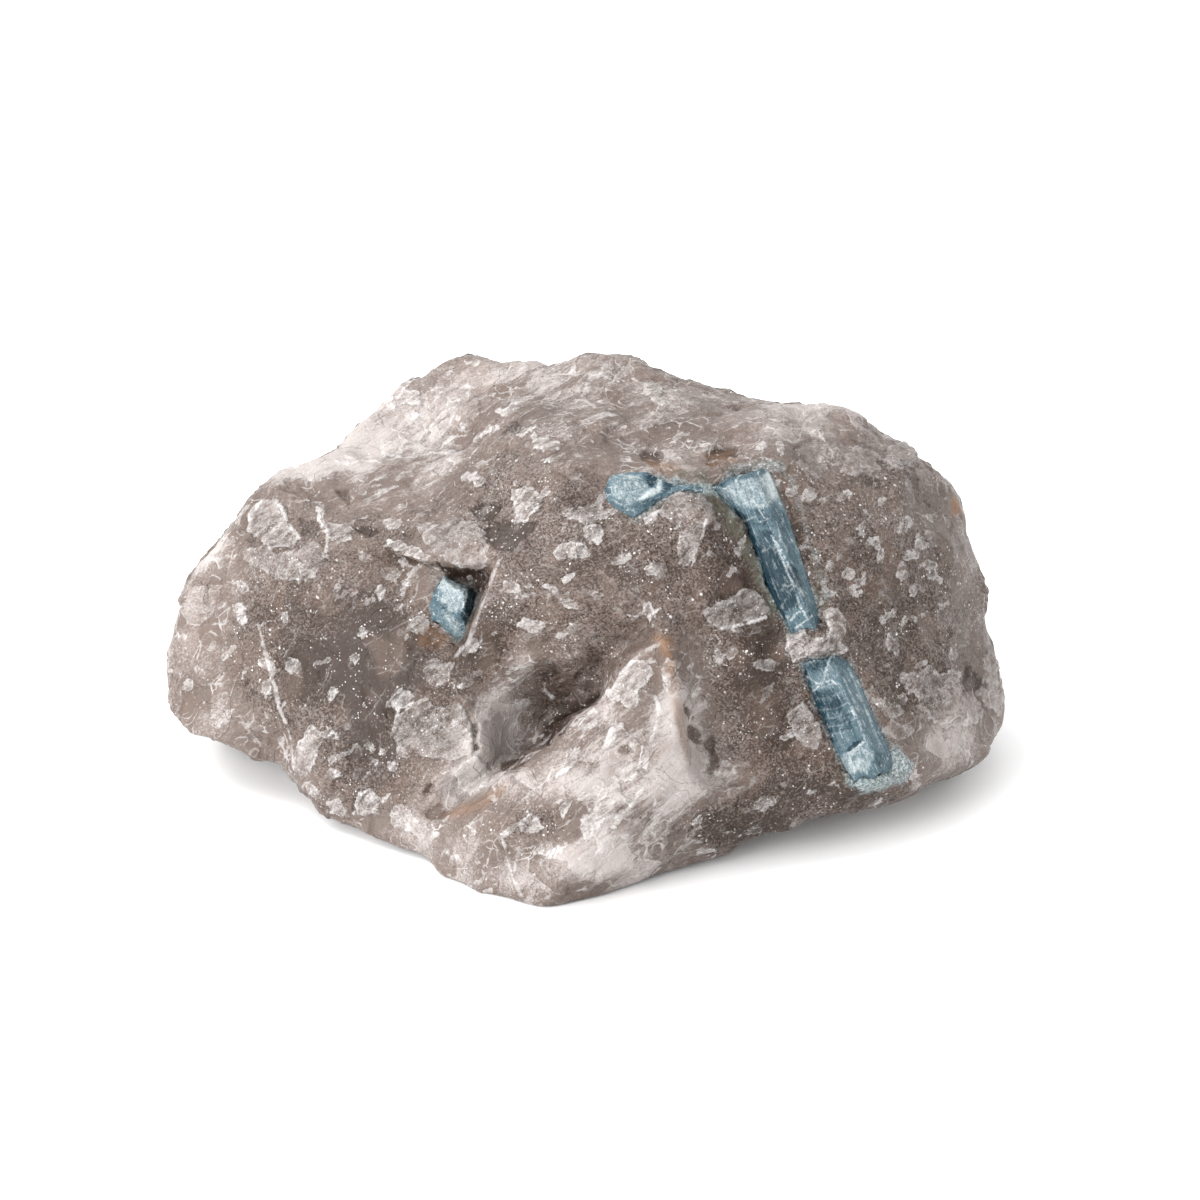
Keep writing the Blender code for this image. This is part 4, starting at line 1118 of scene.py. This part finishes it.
def quartz_material():
    """Massive quartz: broken terraces and plates, frosted flakes, specks, streaks and stains, with painted
    light and shade from the zones and recesses.
    """
    n = Nodes("quartz")
    place = n.millimetres()
    bent = bend(n, place)
    laid = n.streaked(bent, STREAK, 0.45)
    # tone: the quartz's own pale and dark zones, together with painted light and shade
    tone = n.attribute("tone")
    pale = n.span(tone, -0.1, 0.5, 0.25, 1.0)
    clouds = n.noise(place, CLOUD_SIZE, 2, 0.5)
    patches = n.noise(place, PATCH_SIZE, 5, 0.6)
    streaks = n.noise(n.streaked(place, STREAK, 0.88), STREAK_SIZE, 5, 0.7)
    streaky = n.plus(n.attribute("streaky"), n.span(n.noise(place, 14, 2), 0.45, 0.65, 0.15, 0.6))
    fine = n.noise(place, FINE_SIZE, 4, 0.8)
    smoke = n.span(n.noise(place, 6, 2, 0.5), 0.48, 0.68, 0.0, 0.36)
    grain = n.cells(place, GRAIN_SIZE)

    # Terraces and plates of the broken stone
    terrace = n.noise(bent, TERRACE_SIZE, 2, 0.4)
    steps = n.largest([n.times(n.span(terrace, at, at + 0.012), top) for at, top in TERRACES])
    offsets = [n.calc("ABSOLUTE", n.calc("SUBTRACT", terrace, at + 0.008)) for at, _ in TERRACES]
    ledge = bright_edges(n, place, n.largest([n.span(offset, 0.012, 0.002) for offset in offsets]), pale)
    plate = n.cells(laid, PLATE_SIZE)
    joint = bright_edges(n, place, n.span(n.from_cell_edges(laid, PLATE_SIZE), 0.024, 0.006), pale)

    # Frosted flakes: the traced ones, and scattered ones everywhere
    edge = n.plus(n.attribute("flake"), n.contrast(fine, 1.1))
    shred = n.noise(n.streaked(bent, STREAK, 0.6), SHRED_SIZE, 5, 0.7)
    veil = n.times(n.span(shred, 0.38, 0.60, 0.10, 1.0), n.attribute("flake_white"))
    placed = n.times(n.span(edge, -0.12, 0.16), veil)
    placed_rim = n.times(placed, n.span(edge, 0.32, 0.02))
    placed = n.times(placed, n.span(edge, 0.1, 0.9, 1.0, 0.65))
    edge = n.plus(n.noise(laid, FLAKE_SIZE, 2, 0.4), n.contrast(fine, 0.12))
    edge = n.calc("SUBTRACT", edge, FLAKE_THRESHOLD)
    scattered = n.times(n.span(edge, 0.0, 0.012), n.span(shred, 0.36, 0.60, 0.1, 0.7))
    scattered = n.times(scattered, n.span(n.noise(place, SWARM_SIZE, 2), 0.40, 0.58, 0.3, 1.0))
    scattered_rim = n.times(scattered, n.span(edge, 0.03, 0.0))
    frost = n.largest([placed, scattered])

    # Healed cracks, bright edges, and painted shade in the recesses
    line_veil = n.times(n.attribute("line_white"), n.span(patches, 0.35, 0.60, 0.15, 0.9))
    line = n.plus(n.attribute("line"), n.contrast(fine, 0.7))
    line = n.times(n.span(line, -0.1, 0.1), line_veil)
    rim = n.largest([placed_rim, scattered_rim, line, ledge, joint])
    recess = n.plus(n.attribute("recess"), n.contrast(fine, 0.8))
    painted_recess_shade = n.times(n.span(recess, -0.1, 0.3), n.attribute("recess_painted_shade"))

    # White specks, in swarms
    swarm = n.span(n.noise(place, SWARM_SIZE, 3, 0.6), 0.44, 0.62, 0.06, 1.0)
    swarm = n.times(swarm, n.span(tone, -0.1, 0.6, 1.0, 0.3))
    swarm = n.calc("MAXIMUM", swarm, n.times(painted_recess_shade, 0.9))
    dots = n.times(n.largest([n.specks(bent, *layer) for layer in SPECK_LAYERS]), swarm)

    # Colour
    sand = n.plus(n.contrast(grain, 0.85), n.contrast(fine, 0.45))
    level = n.total([
        n.calc("MULTIPLY_ADD", tone, 0.55, 0.37),
        n.contrast(clouds, 0.5),
        n.contrast(patches, 0.34),
        n.times(n.contrast(streaks, 0.9), streaky),
        # painted shade: the recesses are darkened in colour
        n.times(painted_recess_shade, -0.6),
        n.contrast(steps, 0.14),
        n.times(n.contrast(plate, 0.26), pale),
        n.times(sand, n.span(tone, -0.5, 0.5, 1.0, 0.22)),
    ])
    colour = n.blend(n.span(level, 0.0, 0.5), QUARTZ_DARK, QUARTZ_MIDDLE)
    colour = n.blend(n.span(level, 0.5, 1.0), colour, QUARTZ_PALE)
    colour = n.blend(smoke, colour, SMOKE)
    colour = n.blend(n.times(frost, n.span(grain, 0.0, 1.0, 0.48, 0.74)), colour, FROST)
    colour = n.blend(n.times(rim, 0.75), colour, FROST)
    for name, stain in (("rust", RUST), ("olive", OLIVE)):
        share = n.times(n.attribute(name), n.span(patches, 0.30, 0.62, 0.35, 1.0))
        colour = n.blend(share, colour, stain)
    touch = n.plus(n.attribute("touch"), n.contrast(patches, 1.1))
    touch = n.times(n.span(touch, 0.25, 1.0, 0.0, 0.85), n.calc("SUBTRACT", 1.0, painted_recess_shade))
    teal = n.blend(n.span(n.plus(grain, n.contrast(fine, 2.0)), 0.0, 1.0), TEAL_LOW, TEAL_HIGH)
    colour = n.blend(touch, colour, teal)
    n.shade("Base Color", n.blend(n.times(dots, 0.9), colour, SPECK))

    # Gloss and fine relief
    rough = n.span(patches, 0.3, 0.7, 0.22, 0.48)
    n.shade("Roughness", n.calc("MULTIPLY_ADD", frost, 0.12, rough))
    height = n.total([
        n.times(grain, GRAIN_RELIEF),
        n.times(patches, PATCH_RELIEF),
        n.times(fine, FINE_RELIEF),
        n.times(n.times(streaks, streaky), STREAK_RELIEF),
        n.times(frost, FROST_RELIEF),
        n.times(rim, RIM_RELIEF),
        n.times(dots, SPECK_RELIEF),
        n.times(steps, TERRACE_RELIEF),
        n.times(n.times(plate, pale), PLATE_RELIEF),
    ])
    return n.finish(height, QUARTZ_IOR, QUARTZ_SPECULAR)


# Colours of the aquamarine
AQUA_DEEP = (0.006, 0.021, 0.031, 1)
AQUA_MIDDLE = (0.056, 0.092, 0.110, 1)
AQUA_PALE = (0.215, 0.252, 0.260, 1)
AQUA_FROST = (0.47, 0.495, 0.50, 1)

# Sizes of its markings, in mm
NEEDLE_SIZE = 0.35
BAND_SIZE = 1.2
AQUA_PATCH_SIZE = 1.0
AQUA_FINE_SIZE = 0.35
AQUA_GRAIN_SIZE = 0.20
WEB_SIZE = 0.9

# How far a marking stands out, in mm
NEEDLE_RELIEF = 0.12
AQUA_PATCH_RELIEF = 0.14
WHITE_RELIEF = 0.05
AQUA_IOR = 1.57
AQUA_SPECULAR = 0.15


def aquamarine_material(name, stretch):
    """Aquamarine with needles along the crystal's length. stretch is how long its needles are."""
    n = Nodes(name)
    along = n.calc("DIVIDE", n.attribute("along"), stretch)
    inputs = {0: n.attribute("around"), 1: along, 2: n.attribute("depth")}
    crystal = n.add("ShaderNodeCombineXYZ", inputs).outputs[0]
    # tone: the marks on the crystal, some of them painted shade
    tone = n.attribute("tone")
    place = n.millimetres()
    needles = n.noise(crystal, NEEDLE_SIZE, 4, 0.7)
    bands = n.noise(crystal, BAND_SIZE, 3, 0.6)
    patches = n.noise(place, AQUA_PATCH_SIZE, 5, 0.7)
    fine = n.noise(place, AQUA_FINE_SIZE, 3, 0.8)
    grain = n.cells(place, AQUA_GRAIN_SIZE)

    # Colour
    level = n.total([
        n.calc("MULTIPLY_ADD", tone, 0.5, 0.42),
        n.contrast(bands, 0.5),
        n.contrast(patches, 0.6),
        n.contrast(needles, 0.6),
        n.contrast(fine, 0.6),
        n.contrast(grain, 0.22),
    ])
    colour = n.blend(n.span(level, 0.0, 0.5), AQUA_DEEP, AQUA_MIDDLE)
    colour = n.blend(n.span(level, 0.5, 1.0), colour, AQUA_PALE)

    # Frost, the traced needles and cracks, and a net of fine ones
    frost = n.times(n.span(level, 0.75, 1.25), 0.6)
    line = n.plus(n.attribute("line"), n.contrast(fine, 0.8))
    line = n.times(n.span(line, -0.12, 0.10), n.attribute("line_white"))
    line = n.times(line, n.span(patches, 0.3, 0.6, 0.4, 1.0))
    streak = n.times(n.span(needles, 0.62, 0.70), n.span(patches, 0.45, 0.6, 0.0, 0.5))
    web = n.plus(n.from_cell_edges(crystal, WEB_SIZE), n.contrast(fine, 0.15))
    web = n.times(n.span(web, 0.07, 0.02), n.span(patches, 0.46, 0.62, 0.0, 0.45))
    white = n.times(n.largest([frost, line, streak, web]), n.span(tone, -0.9, 0.0, 0.45, 1.0))
    n.shade("Base Color", n.blend(white, colour, AQUA_FROST))

    # Gloss and fine relief
    n.shade("Roughness", n.span(patches, 0.3, 0.7, 0.12, 0.38))
    height = n.total([
        n.times(needles, NEEDLE_RELIEF),
        n.times(patches, AQUA_PATCH_RELIEF),
        n.times(white, WHITE_RELIEF),
    ])
    return n.finish(height, AQUA_IOR, AQUA_SPECULAR)


# Crystals

def crystal_frame(mesh, lengthwise):
    """For each vertex how far in mm it is along the crystal, around it and out of it."""
    places = coordinates(mesh) / MM
    middle = places.mean(axis=0)
    along = np.array(lengthwise, float)
    along /= np.linalg.norm(along)
    out = TOWARDS - along * (TOWARDS @ along)
    out /= np.linalg.norm(out)
    side = np.cross(along, out)
    return (places - middle) @ along, (places - middle) @ side, (places - middle) @ out


def main_axis(mesh):
    """The direction of the longest extent of a mesh, pointing down."""
    places = coordinates(mesh)
    _, _, axes = np.linalg.svd(places - places.mean(axis=0), full_matrices=False)
    return axes[0] * (-1 if axes[0][2] > 0 else 1)


def make_crystal(node, stretch, rounds):
    """A crystal with striae along it, rough ends, and the marks and lines that the photograph shows."""
    obj = fine_copy(node + "_stone", node, CRYSTAL_VOXEL)
    mesh = obj.data
    set_coordinates(mesh, soften(mesh, coordinates(mesh), rounds))
    along, around, out = crystal_frame(mesh, main_axis(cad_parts[node].data))
    places = coordinates(mesh) / MM
    face = normals(mesh)
    stretched = np.stack([around, along / 9, out], axis=1)
    striae = soft_noise(stretched, 0.8, 71) * 0.12 + soft_noise(stretched, 0.4, 72) * 0.06
    ends = smoothstep(2.2, 0.4, np.minimum(along - along.min(), along.max() - along))
    rough = rough_noise(places, 1.6, 73, 3) * (0.12 + 0.5 * ends)
    set_coordinates(mesh, (places + face * (striae + rough)[:, None]) * MM)
    set_attribute(mesh, "along", along)
    set_attribute(mesh, "around", around)
    set_attribute(mesh, "depth", out)
    photo = Photographed(mesh)
    lines = photo.traced(0.15).lay_lines(CRYSTAL_LINES[node], 0.0)
    set_attribute(mesh, "tone", photo.marks(CRYSTAL_MARKS[node], MARK_SOFTNESS))
    set_attribute(mesh, "line", lines.edge)
    set_attribute(mesh, "line_white", lines.strength)
    finish_piece(obj, node, aquamarine_material(node, stretch))
    return obj


# Quartz

# Broken flats: their size in mm, their seed, how far they stand out in mm, and the share left unbroken
CHIPS = ((9.0, 51, 0.6, 0.4), (5.0, 11, 0.45, 0.35), (2.4, 21, 0.22, 0.40))


def tree_of(mesh):
    """A mesh's triangles, for rays and nearest places."""
    faces = [tuple(polygon.vertices) for polygon in mesh.polygons]
    return BVHTree.FromPolygons([vertex.co for vertex in mesh.vertices], faces)


def seen(mesh, places, faces):
    """1 where the photograph shows a vertex, and 0 where it doesn't."""
    tree = tree_of(mesh)
    eye = Vector(EYE_PLACE)
    rays = EYE_PLACE - places
    facing = np.sum(faces * rays, axis=1) / np.linalg.norm(rays, axis=1)
    shown = np.zeros(len(places))
    for i in np.flatnonzero(facing > 0.02):
        start = Vector(places[i] + faces[i] * 0.3 * MM)
        hit = tree.ray_cast(start, eye - start)
        shown[i] = hit[0] is None
    return shown


def draw_to_crystals(mesh, crystals):
    """Closes the fine gap between the quartz and the crystals in it, and tells how near each vertex is."""
    places = coordinates(mesh)
    touch = np.zeros(len(places))
    for crystal in crystals:
        crystal_places = coordinates(crystal.data)
        low, high = crystal_places.min(axis=0) - TOUCH * MM, crystal_places.max(axis=0) + TOUCH * MM
        near = np.flatnonzero(np.all((places > low) & (places < high), axis=1))
        tree = tree_of(crystal.data)
        for i in near:
            spot, facing, _, distance = tree.find_nearest(Vector(places[i]))
            touch[i] = max(touch[i], 1 - distance / (TOUCH * MM))
            outside = (Vector(places[i]) - spot).dot(facing) > 0
            if outside and distance < CONTACT_FAR * MM:
                share = float(smoothstep(CONTACT_FAR, CONTACT_NEAR, distance / MM))
                target = np.array(spot - facing * CONTACT_DEPTH * MM)
                places[i] += (target - places[i]) * share
    set_coordinates(mesh, places)
    return touch


def quartz_relief(places, shown):
    """How far in mm the broken quartz stands out."""
    drawn = places - np.outer(places @ STREAK, STREAK) * 0.85
    relief = rough_noise(places, 9.0, 31, 3, 0.5) * 0.40
    relief += rough_noise(drawn, 1.6, 35, 3, 0.55) * 0.22
    relief += rough_noise(places, 1.5, 36, 2, 0.6) * 0.06
    for size, seed, strength, share in CHIPS:
        flat, inside = chips(places, size, seed)
        broken = smoothstep(share - 0.2, share + 0.1, soft_noise(places, size * 1.8, seed + 9))
        broken = broken * shown + 1 - shown
        relief += flat * strength * smoothstep(0.0, 0.06, inside) * broken
    return relief


def thin_out(obj, hidden):
    """Fewer triangles: first on the sides that the photograph doesn't show, then everywhere."""
    group = obj.vertex_groups.new(name="hidden")
    group.add(np.flatnonzero(hidden).tolist(), 1.0, "REPLACE")
    kept = 1 - hidden.mean() * (1 - HIDDEN_KEPT)
    sides = obj.modifiers.new("hidden sides", "DECIMATE")
    sides.ratio = kept
    sides.vertex_group = "hidden"
    everywhere = obj.modifiers.new("everywhere", "DECIMATE")
    everywhere.ratio = QUARTZ_TRIANGLES / (2 * len(obj.data.polygons) * kept)
    apply_modifiers(obj)


def make_quartz(crystals):
    """The quartz with its broken surface, flakes, recesses with painted shade and cracks, closed onto the
    crystals.
    """
    obj = fine_copy("quartz_stone", "quartz_matrix", QUARTZ_VOXEL)
    mesh = obj.data
    set_coordinates(mesh, soften(mesh, coordinates(mesh), SMOOTHING))
    photo = Photographed(mesh)
    flakes = photo.traced().lay_outlines(FLAKES)
    # The recesses are cut into the surface and darkened with painted shade
    recesses = photo.traced().lay_outlines(RECESSES_WITH_PAINTED_SHADE)
    lines = photo.traced(0.3).lay_lines(BRIGHT_LINES, 0.12)
    # Zones of the quartz's own tone together with painted light and shade
    tone = photo.zones(TONE_AND_PAINTED_LIGHT_ZONES)
    relief = quartz_relief(photo.places / MM, photo.shown)
    relief += flakes.height - recesses.height + lines.height
    relief *= smoothstep(0.6, 3.0, photo.places[:, 2] / MM)
    set_coordinates(mesh, photo.places + photo.faces * relief[:, None] * MM)
    touch = draw_to_crystals(mesh, crystals)
    set_attribute(mesh, "touch", np.maximum(touch, photo.marks(TEAL_STAINS, 5.0)))
    set_attribute(mesh, "tone", tone)
    set_attribute(mesh, "flake", flakes.edge)
    set_attribute(mesh, "flake_white", flakes.strength)
    set_attribute(mesh, "recess", recesses.edge)
    set_attribute(mesh, "recess_painted_shade", recesses.strength)
    set_attribute(mesh, "line", lines.edge)
    set_attribute(mesh, "line_white", lines.strength)
    set_attribute(mesh, "streaky", photo.zones(STREAKY_ZONES))
    set_attribute(mesh, "rust", photo.marks(RUST_STAINS, 3.0))
    set_attribute(mesh, "olive", photo.marks(OLIVE_STAINS, 3.0))
    thin_out(obj, photo.shown < 0.5)
    mesh = obj.data
    low, high = (np.array(corner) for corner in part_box("quartz_matrix"))
    set_coordinates(mesh, np.clip(coordinates(mesh), low, high))
    finish_piece(obj, "quartz_matrix", quartz_material())
    return obj


# The studio

FLOOR_WHITE = (0.86, 0.86, 0.86, 1)
FLOOR_SIZE = 6
WORLD_STRENGTH = 1.55
LAMP_SIZE = 0.8
LAMP_TARGET = (0, 0, 0.02)
# Each lamp: its place in metres and its power
KEY = ((-0.55, 0.15, 0.85), 10)
FILL = ((-0.7, -0.75, 0.35), 15)


def area_light(name, place, power):
    data = bpy.data.lights.new(name, "AREA")
    data.size = LAMP_SIZE
    data.energy = power
    light = bpy.data.objects.new(name, data)
    light.location = place
    light.rotation_euler = (Vector(LAMP_TARGET) - Vector(place)).to_track_quat("-Z", "Y").to_euler()
    bpy.context.scene.collection.objects.link(light)


def studio():
    mesh = bpy.data.meshes.new("floor")
    half = FLOOR_SIZE / 2
    corners = [(-half, -half, 0), (half, -half, 0), (half, half, 0), (-half, half, 0)]
    mesh.from_pydata(corners, [], [(0, 1, 2, 3)])
    floor = link("floor", mesh)
    n = Nodes("floor")
    n.shader.inputs["Base Color"].default_value = FLOOR_WHITE
    n.shader.inputs["Roughness"].default_value = 0.9
    mesh.materials.append(n.material)
    world = bpy.data.worlds.new("studio")
    world.use_nodes = True
    world.node_tree.nodes["Background"].inputs["Color"].default_value = (1, 1, 1, 1)
    world.node_tree.nodes["Background"].inputs["Strength"].default_value = WORLD_STRENGTH
    bpy.context.scene.world = world
    area_light("key", *KEY)
    area_light("fill", *FILL)
    bpy.context.scene.view_settings.view_transform = "Standard"


place_camera()
studio()
stones = [
    make_crystal("aquamarine_upper_prism", 9, 2),
    make_crystal("aquamarine_lower_prism", 9, 2),
    make_crystal("aquamarine_side_crystal", 2, 3),
    make_crystal("aquamarine_small_crystal", 2, 2),
]
make_quartz(stones)
